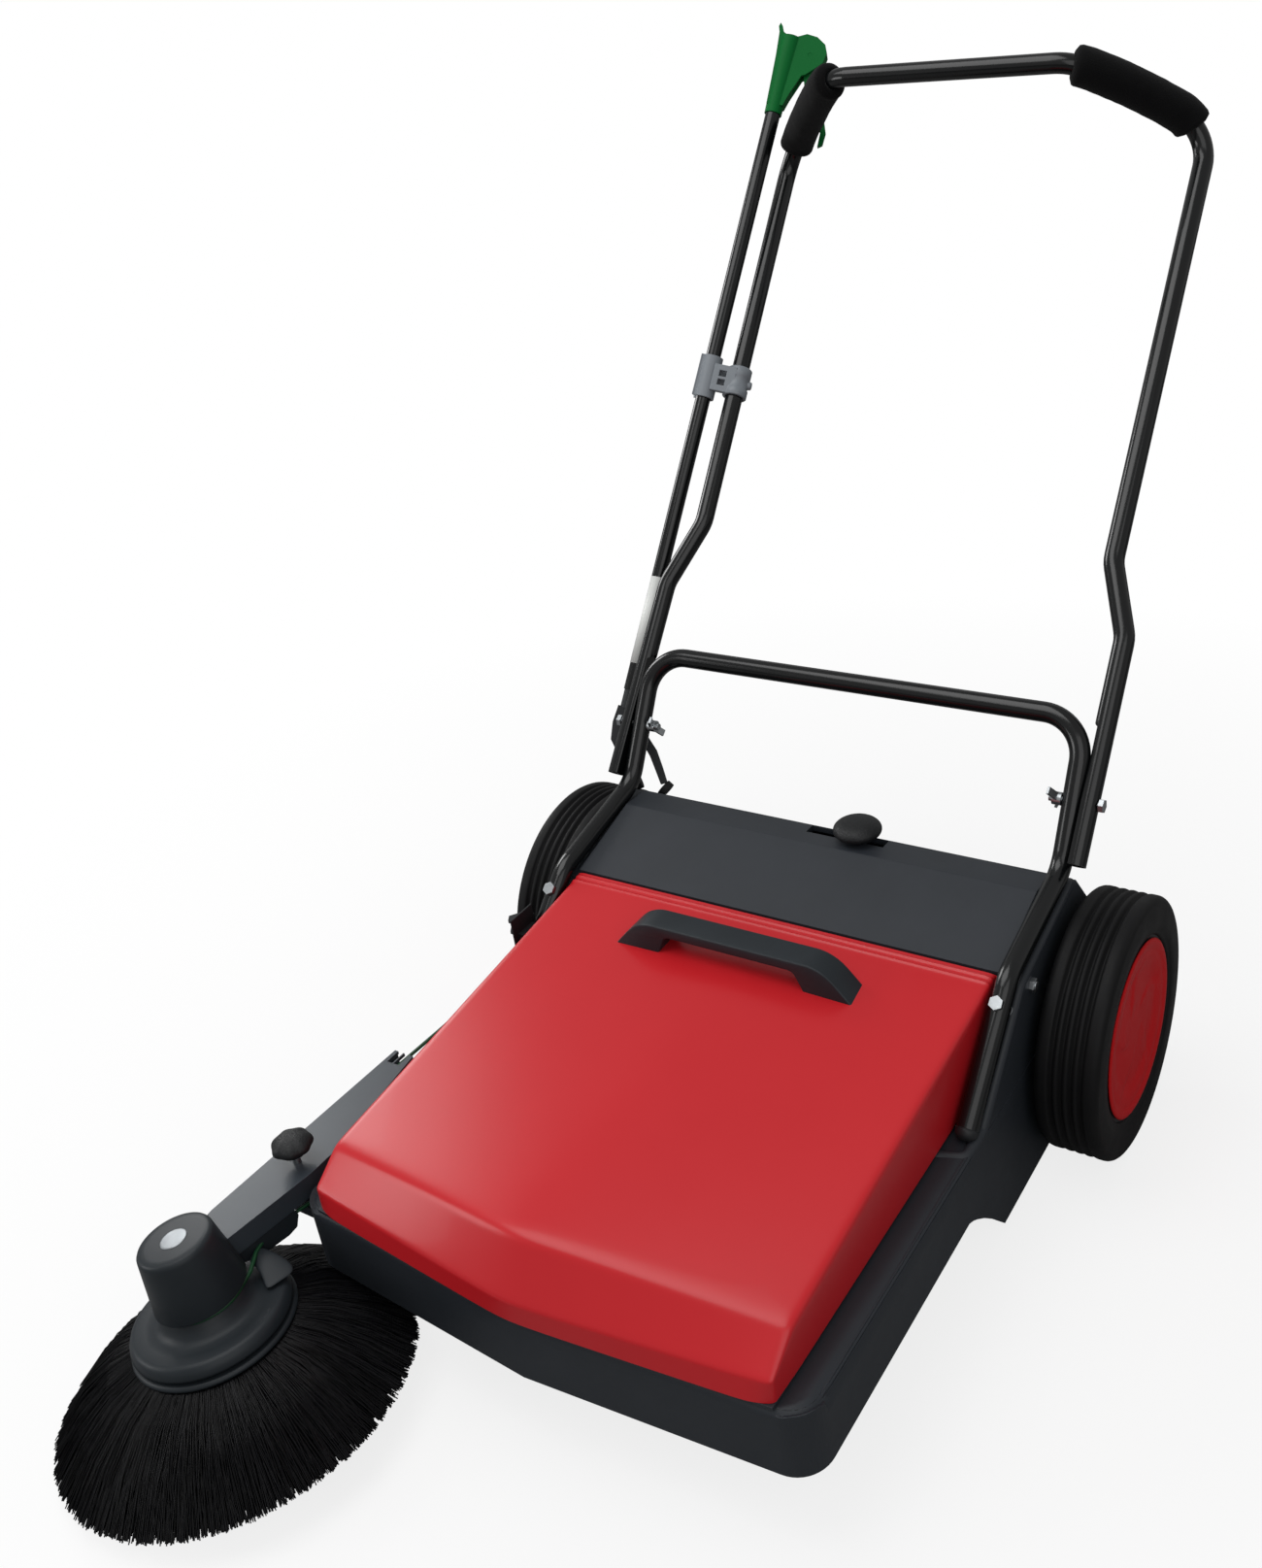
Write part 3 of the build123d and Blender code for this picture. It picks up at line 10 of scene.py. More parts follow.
import bmesh
import bpy
from mathutils import Euler, Matrix, Vector, noise
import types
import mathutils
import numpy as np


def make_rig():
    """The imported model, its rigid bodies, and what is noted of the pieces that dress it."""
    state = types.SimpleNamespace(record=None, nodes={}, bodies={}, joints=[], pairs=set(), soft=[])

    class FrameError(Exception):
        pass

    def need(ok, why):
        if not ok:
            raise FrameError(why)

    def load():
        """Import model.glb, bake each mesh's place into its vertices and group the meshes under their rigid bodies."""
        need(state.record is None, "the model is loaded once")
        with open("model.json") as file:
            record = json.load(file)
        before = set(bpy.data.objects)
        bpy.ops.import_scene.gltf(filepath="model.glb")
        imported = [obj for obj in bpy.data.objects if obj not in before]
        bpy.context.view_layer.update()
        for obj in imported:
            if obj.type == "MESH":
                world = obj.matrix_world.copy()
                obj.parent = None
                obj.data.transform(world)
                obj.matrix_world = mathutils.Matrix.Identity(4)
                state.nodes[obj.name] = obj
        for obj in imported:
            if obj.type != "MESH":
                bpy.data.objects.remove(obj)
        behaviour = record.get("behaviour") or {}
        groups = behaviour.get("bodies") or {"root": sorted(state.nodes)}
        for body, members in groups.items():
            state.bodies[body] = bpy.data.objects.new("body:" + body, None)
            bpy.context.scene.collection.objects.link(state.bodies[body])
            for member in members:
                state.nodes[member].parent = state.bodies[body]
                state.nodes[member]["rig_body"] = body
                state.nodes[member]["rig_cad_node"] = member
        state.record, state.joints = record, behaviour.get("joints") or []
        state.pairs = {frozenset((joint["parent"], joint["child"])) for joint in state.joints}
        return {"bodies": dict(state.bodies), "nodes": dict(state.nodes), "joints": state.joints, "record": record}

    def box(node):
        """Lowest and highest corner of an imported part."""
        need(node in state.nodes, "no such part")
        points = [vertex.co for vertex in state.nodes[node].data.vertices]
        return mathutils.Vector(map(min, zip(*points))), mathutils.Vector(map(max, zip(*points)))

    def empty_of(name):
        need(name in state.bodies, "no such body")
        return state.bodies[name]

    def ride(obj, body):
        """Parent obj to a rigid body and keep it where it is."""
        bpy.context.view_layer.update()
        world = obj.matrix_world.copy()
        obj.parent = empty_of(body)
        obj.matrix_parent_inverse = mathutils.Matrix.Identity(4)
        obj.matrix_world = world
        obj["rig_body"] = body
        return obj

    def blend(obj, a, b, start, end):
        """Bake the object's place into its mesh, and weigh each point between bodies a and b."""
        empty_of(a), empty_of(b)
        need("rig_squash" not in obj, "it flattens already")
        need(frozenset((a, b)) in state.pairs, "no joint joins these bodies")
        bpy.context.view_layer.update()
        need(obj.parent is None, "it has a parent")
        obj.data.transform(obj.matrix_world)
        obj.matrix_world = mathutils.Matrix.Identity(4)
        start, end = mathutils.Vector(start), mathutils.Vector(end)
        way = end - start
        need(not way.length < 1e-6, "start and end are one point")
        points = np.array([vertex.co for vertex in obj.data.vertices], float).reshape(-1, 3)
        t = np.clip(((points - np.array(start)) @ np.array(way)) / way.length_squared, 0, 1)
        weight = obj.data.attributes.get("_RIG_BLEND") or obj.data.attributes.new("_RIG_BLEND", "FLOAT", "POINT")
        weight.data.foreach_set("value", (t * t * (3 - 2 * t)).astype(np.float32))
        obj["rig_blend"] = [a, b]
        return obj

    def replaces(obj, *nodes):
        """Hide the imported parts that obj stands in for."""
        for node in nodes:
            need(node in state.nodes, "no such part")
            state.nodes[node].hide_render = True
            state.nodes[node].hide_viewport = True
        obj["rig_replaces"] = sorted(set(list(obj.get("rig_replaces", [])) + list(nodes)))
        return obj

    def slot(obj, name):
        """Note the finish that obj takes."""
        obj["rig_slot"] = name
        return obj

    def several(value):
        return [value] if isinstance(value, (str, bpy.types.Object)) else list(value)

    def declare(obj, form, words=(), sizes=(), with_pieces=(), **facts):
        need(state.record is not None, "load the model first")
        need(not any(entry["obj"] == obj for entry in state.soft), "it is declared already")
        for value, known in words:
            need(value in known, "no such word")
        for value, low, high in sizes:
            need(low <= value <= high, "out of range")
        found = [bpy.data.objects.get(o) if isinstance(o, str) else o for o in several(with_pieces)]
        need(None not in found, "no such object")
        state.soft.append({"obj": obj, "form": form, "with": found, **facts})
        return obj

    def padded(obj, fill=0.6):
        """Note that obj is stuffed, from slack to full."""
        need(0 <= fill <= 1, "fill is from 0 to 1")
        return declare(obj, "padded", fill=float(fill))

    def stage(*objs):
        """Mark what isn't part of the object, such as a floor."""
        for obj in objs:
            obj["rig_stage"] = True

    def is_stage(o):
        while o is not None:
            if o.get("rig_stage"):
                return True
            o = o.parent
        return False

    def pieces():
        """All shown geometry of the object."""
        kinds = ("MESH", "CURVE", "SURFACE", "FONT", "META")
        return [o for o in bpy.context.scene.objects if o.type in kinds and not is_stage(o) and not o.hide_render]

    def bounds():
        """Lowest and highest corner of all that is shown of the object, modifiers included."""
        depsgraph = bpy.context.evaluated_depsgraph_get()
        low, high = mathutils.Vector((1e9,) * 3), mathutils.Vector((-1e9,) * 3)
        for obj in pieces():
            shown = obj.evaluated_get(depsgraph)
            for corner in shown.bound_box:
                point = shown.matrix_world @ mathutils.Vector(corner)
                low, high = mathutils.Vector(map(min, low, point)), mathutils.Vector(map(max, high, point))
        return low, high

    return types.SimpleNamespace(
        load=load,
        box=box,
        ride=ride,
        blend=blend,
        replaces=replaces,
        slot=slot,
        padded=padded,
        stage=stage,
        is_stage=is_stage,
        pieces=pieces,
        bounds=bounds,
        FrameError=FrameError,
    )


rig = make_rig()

LOG = logging.getLogger("sweeper")
MM = 0.001
WELD = 1e-6
CUT_SLACK = 1e-7
PLASTIC_IOR = 1.5
PHOTO_WIDTH = 1300
PHOTO_HEIGHT = 1615
SIZE_FILE = "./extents.json"
UP = Vector((0, 0, 1))

Mesh = bpy.types.Mesh
Obj = bpy.types.Object
Socket = bpy.types.NodeSocket
Tree = bpy.types.NodeTree
Pair = tuple[float, float]
Point = tuple[float, float, float]
Line = Sequence[Pair]
Value = Union[float, int, bool, str, tuple, Vector, Socket]


class Side(Enum):
    """The two sides of the machine, seen from the person who pushes it."""

    LEFT = -1
    RIGHT = 1

    @property
    def label(self) -> str:
        """Name of the side as the CAD nodes have it."""
        return self.name.lower()


class Grain(Enum):
    """How a surface was made, which decides the pattern of its relief."""

    ERODED = "eroded mould"
    CELLS = "open cells"
    LEATHER = "leather mould"


def linear(hex_code: str) -> tuple[float, float, float, float]:
    """Turns an sRGB hex value to a linear colour.

    Args:
        hex_code: Six hex digits, with or without a leading hash.

    Returns:
        Linear red, green, blue and an alpha of 1.
    """
    digits = hex_code.lstrip("#")
    channels = [int(digits[i : i + 2], 16) / 255 for i in (0, 2, 4)]
    curve = [c / 12.92 if c <= 0.04045 else ((c + 0.055) / 1.055) ** 2.4 for c in channels]
    return (curve[0], curve[1], curve[2], 1.0)


def add(
    tree: Tree,
    kind: str,
    inputs: Optional[dict[Union[str, int], Value]] = None,
    out: Union[str, int] = 0,
    **settings: object,
) -> Optional[Socket]:
    """Adds a node with its settings, values and links.

    Args:
        tree: Node tree that takes the node.
        kind: Blender's name of the node type.
        inputs: Value or linked socket for each input, by name or number.
        out: Output that is handed back, by name or number.
        **settings: Properties of the node itself.

    Returns:
        The chosen output socket, or None where the node has no output.
    """
    node = tree.nodes.new(kind)
    for key, value in settings.items():
        setattr(node, key, value)
    for key, value in (inputs or {}).items():
        if isinstance(value, Socket):
            tree.links.new(value, node.inputs[key])
        else:
            node.inputs[key].default_value = value
    return node.outputs[out] if len(node.outputs) else None


@dataclass(frozen=True)
class Finish:
    """A moulded, painted or metal surface. Sizes are in millimetres."""

    name: str
    colour: str
    second: str
    roughness: float
    rough_swing: float = 0.06
    mottle: float = 60.0
    grain: float = 1.2
    depth: float = 0.03
    relief: Grain = Grain.ERODED
    metallic: float = 0.0
    specular: float = 0.5
    coat: float = 0.0
    sheen: float = 0.0
    edge: str = ""
    edge_share: float = 0.0
    round_edge: float = 0.8
    shade: str = ""

    # Detail and roughness of the noise behind the tones, the gloss and the grain.
    TONES = (4.0, 0.6)
    GLOSS = (5.0, 0.65)
    PITS = (2.0, 0.5)
    GLOSS_SPREAD = 0.7
    GLOSS_RANGE = (0.25, 0.75)
    # How far the rounded and the true normal agree where rubbing starts, and where it is full.
    RUBBED = (0.995, 0.80)

    def material(self) -> bpy.types.Material:
        """Builds the material once, and hands back the same one after that."""
        known = bpy.data.materials.get(self.name)
        if known is not None:
            return known
        made = bpy.data.materials.new(self.name)
        made.use_nodes = True
        tree = made.node_tree
        tree.nodes.clear()
        place = add(tree, "ShaderNodeTexCoord", out="Object")
        normal = self._rounded_normal(tree)
        values = {
            "Base Color": self._colour(tree, place, normal),
            "Roughness": self._roughness(tree, place),
            "Normal": self._relief(tree, place, normal),
            "Metallic": self.metallic,
            "IOR": PLASTIC_IOR,
            "Specular IOR Level": self.specular,
            "Coat Weight": self.coat,
            "Sheen Weight": self.sheen,
        }
        add(tree, "ShaderNodeOutputMaterial", {"Surface": add(tree, "ShaderNodeBsdfPrincipled", values)})
        return made

    @staticmethod
    def _noise(tree: Tree, place: Socket, size: float, detail: float, rough: float) -> Socket:
        """Noise whose patches have a size in millimetres."""
        values = {"Vector": place, "Scale": 1 / (size * MM), "Detail": detail, "Roughness": rough}
        return add(tree, "ShaderNodeTexNoise", values)

    @staticmethod
    def _mix(tree: Tree, share: Socket, first: Value, second: Value) -> Socket:
        """Colour between two colours."""
        return add(tree, "ShaderNodeMix", {0: share, 6: first, 7: second}, out=2, data_type="RGBA")

    def _rounded_normal(self, tree: Tree) -> Socket:
        """Normal that runs softly over the sharp edges of a solid."""
        if not self.round_edge:
            return add(tree, "ShaderNodeNewGeometry", out="Normal")
        return add(tree, "ShaderNodeBevel", {"Radius": self.round_edge * MM}, samples=4)

    def _colour(self, tree: Tree, place: Socket, normal: Socket) -> Socket:
        """Colour that drifts between two tones, paler along rubbed edges.

        Args:
            tree: The material's node tree.
            place: Object coordinates.
            normal: The rounded normal, which differs from the true one at edges.

        Returns:
            The colour socket.
        """
        if self.shade:
            drift = add(tree, "ShaderNodeAttribute", {}, out="Fac", attribute_name=self.shade)
        else:
            drift = self._noise(tree, place, self.mottle, *self.TONES)
        colour = self._mix(tree, drift, linear(self.colour), linear(self.second))
        if not self.edge:
            return colour
        true = add(tree, "ShaderNodeNewGeometry", out="Normal")
        along = add(tree, "ShaderNodeVectorMath", {0: normal, 1: true}, out="Value", operation="DOT_PRODUCT")
        start, full = self.RUBBED
        limits = {"Value": along, "From Min": start, "From Max": full, "To Max": self.edge_share}
        return self._mix(tree, add(tree, "ShaderNodeMapRange", limits), colour, linear(self.edge))

    def _roughness(self, tree: Tree, place: Socket) -> Socket:
        """Roughness that varies in hand-sized patches."""
        low, high = self.GLOSS_RANGE
        limits = {
            "Value": self._noise(tree, place, self.mottle / self.GLOSS_SPREAD, *self.GLOSS),
            "From Min": low,
            "From Max": high,
            "To Min": self.roughness - self.rough_swing,
            "To Max": self.roughness + self.rough_swing,
        }
        return add(tree, "ShaderNodeMapRange", limits, clamp=False)

    def _relief(self, tree: Tree, place: Socket, normal: Socket) -> Socket:
        """Relief of the surface by the way that it was made."""
        if self.relief is Grain.ERODED:
            height = self._noise(tree, place, self.grain, *self.PITS)
        else:
            cells = {"Vector": place, "Scale": 1 / (self.grain * MM)}
            feature = "F1" if self.relief is Grain.CELLS else "DISTANCE_TO_EDGE"
            height = add(tree, "ShaderNodeTexVoronoi", cells, out="Distance", feature=feature)
        values = {"Height": height, "Distance": self.depth * MM, "Strength": 1.0, "Normal": normal}
        return add(tree, "ShaderNodeBump", values)


# Black polypropylene, moulded in a spark-eroded tool: a fine even grain that breaks up the gloss.
CHARCOAL = Finish(
    "polypropylene_charcoal", "#23272C", "#2B2F35", 0.48, 0.05, specular=0.35, edge="#4E545B", edge_share=0.3
)
# ABS with a polished tool face: even gloss with a faint orange peel.
RED = Finish(
    "abs_red_gloss", "#C11C24", "#C82229", 0.3, 0.02, mottle=160, grain=7, depth=0.006, specular=0.35,
    coat=0.05, round_edge=0.0,
)
RED_HUB = Finish(
    "abs_red_hub", "#C4171C", "#CC1D21", 0.45, 0.03, grain=2.5, depth=0.015, specular=0.08, round_edge=0.0
)
# Glass-filled nylon of the small mouldings: darker, a little dry.
DARK = Finish(
    "nylon_black", "#17191B", "#202225", 0.5, grain=0.9, depth=0.03, specular=0.35, edge="#3C4044",
    edge_share=0.3,
)
# Grey polypropylene of the side brush, with the blue cast of the masterbatch.
SLATE = Finish(
    "polypropylene_slate", "#1F2427", "#292E33", 0.4, 0.04, grain=1.0, specular=0.22, edge="#59626A",
    edge_share=0.35,
)
# The arm is glossier and takes a paler copy of this grey: partly its own tone, partly a painted highlight for the
# light on its top.
ARM_PAINTED_HIGHLIGHT = Finish(
    "polypropylene_arm", "#2F363D", "#3A4249", 0.36, 0.04, grain=1.0, specular=0.7, edge="#59626A",
    edge_share=0.35,
)
# Soft-touch knob, moulded with a leather pattern.
KNOB = Finish(
    "soft_knob", "#0E0F10", "#191B1D", 0.46, grain=2.6, depth=0.55, relief=Grain.LEATHER, specular=0.3,
    round_edge=0.0,
)
# Vulcanised solid rubber: dull.
TYRE = Finish(
    "rubber_tyre", "#0D0D0E", "#161617", 0.55, 0.08, mottle=35, grain=0.8, depth=0.04, specular=0.16,
    round_edge=0.0,
)
RUBBER = Finish("rubber_soft", "#101011", "#19191A", 0.7, grain=0.8, depth=0.04, specular=0.3)
# Powder-coated steel tube: glossy black with a fine orange peel.
TUBE = Finish("powder_coat_black", "#08090A", "#0E1011", 0.17, 0.03, grain=1.6, depth=0.012, specular=0.42)
# Closed-cell foam sleeve: matt, with open cut cells.
FOAM = Finish(
    "nitrile_foam", "#060607", "#0D0D0E", 0.95, 0.03, mottle=14, grain=1.4, depth=0.35, relief=Grain.CELLS,
    specular=0.15, sheen=0.04, round_edge=0.0,
)
# Zinc-plated steel: bright, slightly uneven passivation.
ZINC = Finish(
    "zinc_plated_steel", "#B4B8BB", "#9A9EA0", 0.34, 0.08, mottle=9, grain=0.6, depth=0.01, metallic=1.0
)
STEEL = Finish(
    "turned_steel", "#8F9294", "#A6A8AA", 0.36, 0.08, mottle=12, grain=0.5, depth=0.01, metallic=1.0
)
GREEN = Finish(
    "nylon_green", "#0A5E29", "#0D6A30", 0.45, 0.04, grain=1.1, specular=0.08, edge="#1F8444", edge_share=0.25
)
BELT = Finish(
    "polyurethane_belt", "#0A3A1F", "#0D4726", 0.42, mottle=25, grain=0.8, depth=0.02, round_edge=0.0
)
GREY = Finish(
    "acetal_grey", "#767C82", "#81878D", 0.4, 0.04, grain=1.0, specular=0.45, edge="#969CA1", edge_share=0.3
)
IVORY = Finish("acetal_natural", "#CFCBBF", "#DAD7CD", 0.42, grain=1.0)
# Extruded polypropylene strands: black with a soft shine, each a little different.
BRISTLE = Finish(
    "polypropylene_strands", "#010102", "#101013", 0.28, 0.03, grain=2.0, depth=0.0, specular=0.2,
    round_edge=0.0, shade="shade",
)
# Plain vinyl sleeve and plain foil disc.
VINYL = Finish("vinyl_white", "#D2D4D1", "#DDDFDC", 0.45, 0.04, grain=3.0, depth=0.01, round_edge=0.0)
FOIL = Finish("foil_silver", "#8E9295", "#9CA0A3", 0.42, mottle=8, grain=0.8, depth=0.01, metallic=1.0)

CAD_FINISHES: dict[Finish, tuple[str, ...]] = {
    CHARCOAL: ("rear_housing", "dirt_container", "brush_frame"),
    DARK: (
        "left_rim", "right_rim", "roller_core", "belt_guide", "picker_head", "picker_jaw", "axle_brackets",
        "lift_post", "adjuster_slider", "left_front_roller", "right_front_roller",
    ),
    ARM_PAINTED_HIGHLIGHT: ("side_arm",),
    RUBBER: ("picker_fixed_cup", "picker_jaw_cup"),
    TUBE: ("handle_bow", "handle_upper", "picker_tube"),
    ZINC: ("hex_bolts", "wing_bolts", "wing_nuts", "side_stud", "arm_pin"),
    STEEL: ("axle", "countershaft", "roller_shaft", "side_axle", "picker_rod", "front_roller_pins"),
    GREEN: ("picker_grip", "picker_trigger"),
    BELT: ("drive_belt",),
    IVORY: ("left_pinion", "right_pinion", "left_wheel_gear", "right_wheel_gear", "countershaft_bushes"),
}


@dataclass(frozen=True)
class Datum:
    """The machine's own zero in the row frame: mid-plane, axle line and floor."""

    x: float
    y: float

    @classmethod
    def from_axle(cls) -> "Datum":
        """Reads the zero from the axle, which lies across the mid-plane."""
        low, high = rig.box("axle")
        return cls((low.x + high.x) / 2, (low.y + high.y) / 2)

    def at(self, x: float, y: float, z: float) -> Vector:
        """Point in the row frame, in metres, from millimetres on the machine."""
        return Vector((self.x + x * MM, self.y + y * MM, z * MM))

    def read(self, point: Vector) -> Vector:
        """Millimetres on the machine from a point in the row frame."""
        return (point - self.at(0, 0, 0)) / MM


@dataclass
class Workshop:
    """What every sub-assembly needs: the loaded frame, the machine's zero and the shared node trees."""

    frame: dict
    datum: Datum
    turner: "TurnedShape"
    rods: "RodShape"

    def node(self, name: str) -> Obj:
        """CAD node by name."""
        return self.frame["nodes"][name]

    def merged(self, name: str) -> bmesh.types.BMesh:
        """Working copy of a CAD node's mesh, with its points merged."""
        shape = bmesh.new()
        shape.from_mesh(self.node(name).data)
        bmesh.ops.remove_doubles(shape, verts=shape.verts, dist=WELD)
        return shape

    def keep(self, obj: Obj, body: str, slot: str, *nodes: str, finish: Optional[Finish] = None) -> Obj:
        """Puts a finished piece on its body and says what it stands for.

        Args:
            obj: The piece, with its place in its mesh.
            body: CAD body that it moves with.
            slot: The record's material slot.
            *nodes: CAD nodes that it replaces.
            finish: Finish of all its faces, where it hasn't one yet.

        Returns:
            The same piece.
        """
        if finish:
            dress(obj, finish)
        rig.ride(obj, body)
        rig.slot(obj, slot)
        if nodes:
            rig.replaces(obj, *nodes)
        LOG.info("%s rides on %s, %d faces", obj.name, body, len(obj.data.polygons))
        return obj


def dress(obj: Obj, finish: Finish) -> None:
    """Gives all of an object's faces one finish."""
    obj.data.materials.clear()
    obj.data.materials.append(finish.material())


def piece(name: str, mesh: Mesh) -> Obj:
    """Links a mesh to the scene as an object at the origin."""
    obj = bpy.data.objects.new(name, mesh)
    bpy.context.scene.collection.objects.link(obj)
    return obj


def piece_of(name: str, shape: bmesh.types.BMesh) -> Obj:
    """Links a working mesh to the scene and closes it."""
    mesh = bpy.data.meshes.new(name)
    shape.to_mesh(mesh)
    shape.free()
    return piece(name, mesh)


def modify(obj: Obj, kind: str, **settings: object) -> None:
    """Adds a modifier with its settings."""
    modifier = obj.modifiers.new(kind.lower(), kind)
    for key, value in settings.items():
        setattr(modifier, key, value)


def settle(obj: Obj, smooth: bool = True) -> Obj:
    """Turns an object's modifiers into a plain mesh.

    Args:
        obj: Object with modifiers.
        smooth: Whether faces are shaded smooth.

    Returns:
        The same object, without modifiers.
    """
    graph = bpy.context.evaluated_depsgraph_get()
    mesh = bpy.data.meshes.new_from_object(obj.evaluated_get(graph), depsgraph=graph)
    obj.modifiers.clear()
    obj.data = mesh
    mesh.name = obj.name
    if smooth:
        mesh.polygons.foreach_set("use_smooth", [True] * len(mesh.polygons))
    return obj


def face_out(mesh: Mesh) -> None:
    """Points the faces of a closed mesh outwards."""
    shape = bmesh.new()
    shape.from_mesh(mesh)
    bmesh.ops.remove_doubles(shape, verts=shape.verts, dist=WELD)
    bmesh.ops.recalc_face_normals(shape, faces=shape.faces)
    shape.to_mesh(mesh)
    shape.free()


def cut(shape: bmesh.types.BMesh, place: Vector, along: Vector, clear: bool = False) -> None:
    """Cuts a working mesh along a plane.

    Args:
        shape: Mesh under construction.
        place: Point on the plane.
        along: Direction across the plane.
        clear: Whether what lies behind the plane goes.
    """
    everything = [*shape.verts, *shape.edges, *shape.faces]
    bmesh.ops.bisect_plane(
        shape, geom=everything, dist=CUT_SLACK, plane_co=place, plane_no=along, clear_inner=clear
    )


def mesh_of(name: str, points: Sequence[Vector], faces: Sequence[Sequence[int]]) -> Mesh:
    """Makes a mesh of points and faces."""
    mesh = bpy.data.meshes.new(name)
    mesh.from_pydata([tuple(p) for p in points], [], [tuple(f) for f in faces])
    mesh.update()
    return mesh


def solid(name: str, points: Sequence[Vector], faces: Sequence[Sequence[int]]) -> Obj:
    """Links a body of points and faces to the scene, with all its faces pointing out."""
    mesh = mesh_of(name, points, faces)
    face_out(mesh)
    return piece(name, mesh)


def net(rows: int, columns: int, ring: bool = False, loop: bool = False) -> list[tuple[int, ...]]:
    """Faces of a net of points that are listed row after row.

    Args:
        rows: Number of rows.
        columns: Points in a row.
        ring: Whether each row closes on itself.
        loop: Whether the last row meets the first.

    Returns:
        Point numbers of each face.
    """
    faces = []
    for i in range(rows if loop else rows - 1):
        a, b = i * columns, (i + 1) % rows * columns
        for j in range(columns if ring else columns - 1):
            n = (j + 1) % columns
            faces.append((a + j, b + j, b + n, a + n))
    return faces


def prism(low: Sequence[Vector], high: Sequence[Vector]) -> tuple[list[Vector], list[tuple[int, ...]]]:
    """Points and faces of a closed body between two like outlines."""
    count = len(low)
    ends = [tuple(range(count)), tuple(range(2 * count - 1, count - 1, -1))]
    return [*low, *high], ends + net(2, count, ring=True)


def rounded_route(corners: Sequence[Vector], radius: float, step: float) -> list[Vector]:
    """Walks along straight runs with an arc at each inner corner.

    Args:
        corners: Corner points.
        radius: Radius of the arcs.
        step: Spacing of the points.

    Returns:
        Evenly spaced points along the line.
    """
    arc_steps = 12
    dense: list[Vector] = [corners[0]]
    for before, corner, after in zip(corners, corners[1:], corners[2:]):
        a = (before - corner).normalized()
        b = (after - corner).normalized()
        half = a.angle(b) / 2
        back = radius / math.tan(half)
        centre = corner + (a + b).normalized() * (radius / math.sin(half))
        first = corner + a * back - centre
        last = corner + b * back - centre
        axis = first.cross(last).normalized()
        sweep = first.angle(last) / arc_steps
        dense += [centre + Matrix.Rotation(sweep * i, 3, axis) @ first for i in range(arc_steps + 1)]
    dense.append(corners[-1])
    return spaced(dense, step)


def spaced(points: Sequence[Vector], step: float) -> list[Vector]:
    """Points at even distances along a line of points."""
    lengths = [0.0]
    for a, b in zip(points, points[1:]):
        lengths.append(lengths[-1] + (b - a).length)
    count = max(2, round(lengths[-1] / step) + 1)
    found: list[Vector] = []
    k = 0
    for i in range(count):
        target = lengths[-1] * i / (count - 1)
        while k < len(points) - 2 and lengths[k + 1] < target:
            k += 1
        span = lengths[k + 1] - lengths[k]
        found.append(points[k].lerp(points[k + 1], (target - lengths[k]) / span if span else 0.0))
    return found


class NodeShape:
    """A Geometry Nodes tree with named inputs, used as a one-off modifier."""

    def __init__(self, name: str) -> None:
        """Starts a tree that takes a base mesh and a material."""
        self.tree = bpy.data.node_groups.new(name, "GeometryNodeTree")
        self.tree.interface.new_socket("Shape", in_out="OUTPUT", socket_type="NodeSocketGeometry")
        self.keys: dict[str, str] = {}
        self.entry = self.tree.nodes.new("NodeGroupInput")
        self.takes("Geometry", "Base")
        self.takes("Material", "Material")

    def takes(self, kind: str, *names: str) -> None:
        """Adds named inputs of a kind such as Float, Int, Vector or Rotation."""
        for name in names:
            socket = self.tree.interface.new_socket(name, in_out="INPUT", socket_type="NodeSocket" + kind)
            self.keys[name] = socket.identifier

    def given(self, name: str) -> Socket:
        """Socket of a named input."""
        return self.entry.outputs[name]

    def calc(self, operation: str, *values: Value) -> Socket:
        """Result of a sum with sockets and numbers."""
        return add(self.tree, "ShaderNodeMath", dict(enumerate(values)), operation=operation)

    def polar(self, radius: Socket, angle: Socket) -> list[Socket]:
        """Both coordinates of a point on a circle."""
        return [self.calc("MULTIPLY", radius, self.calc(part, angle)) for part in ("COSINE", "SINE")]

    def bent(self, shape: Socket, x: Socket, y: Socket, z: Socket, **more: Value) -> Socket:
        """Shape whose points lie at the given coordinates."""
        spot = add(self.tree, "ShaderNodeCombineXYZ", {"X": x, "Y": y, "Z": z})
        return add(self.tree, "GeometryNodeSetPosition", {"Geometry": shape, "Position": spot, **more})

    def moved(self, shape: Socket) -> Socket:
        """Shape turned and moved by the inputs Turn and Place."""
        values = {"Geometry": shape, "Translation": self.given("Place"), "Rotation": self.given("Turn")}
        return add(self.tree, "GeometryNodeTransform", values)

    def split(self, vector: Optional[Socket] = None) -> bpy.types.NodeOutputs:
        """Coordinates of a vector, or of each point."""
        vector = vector or add(self.tree, "GeometryNodeInputPosition")
        return add(self.tree, "ShaderNodeSeparateXYZ", {0: vector}).node.outputs

    def ends(self, shape: Socket) -> None:
        """Closes the tree with real geometry and its material."""
        shape = add(self.tree, "GeometryNodeRealizeInstances", {"Geometry": shape})
        shape = add(self.tree, "GeometryNodeSetShadeSmooth", {"Geometry": shape, "Shade Smooth": True})
        coat = {"Geometry": shape, "Material": self.given("Material")}
        add(self.tree, "NodeGroupOutput", {"Shape": add(self.tree, "GeometryNodeSetMaterial", coat)})

    def make(self, name: str, base: Mesh, finish: Finish, **values: Value) -> Obj:
        """Runs the tree on a base mesh and keeps the result as a plain mesh.

        Args:
            name: Name of the piece.
            base: Mesh that enters the tree.
            finish: Finish that the tree sets.
            **values: Sizes by input name, with underscores for spaces.

        Returns:
            The piece.
        """
        obj = piece(name, base)
        modifier = obj.modifiers.new(name, "NODES")
        modifier.node_group = self.tree
        modifier[self.keys["Material"]] = finish.material()
        for key, value in values.items():
            modifier[self.keys[key.replace("_", " ")]] = value
        return settle(obj)


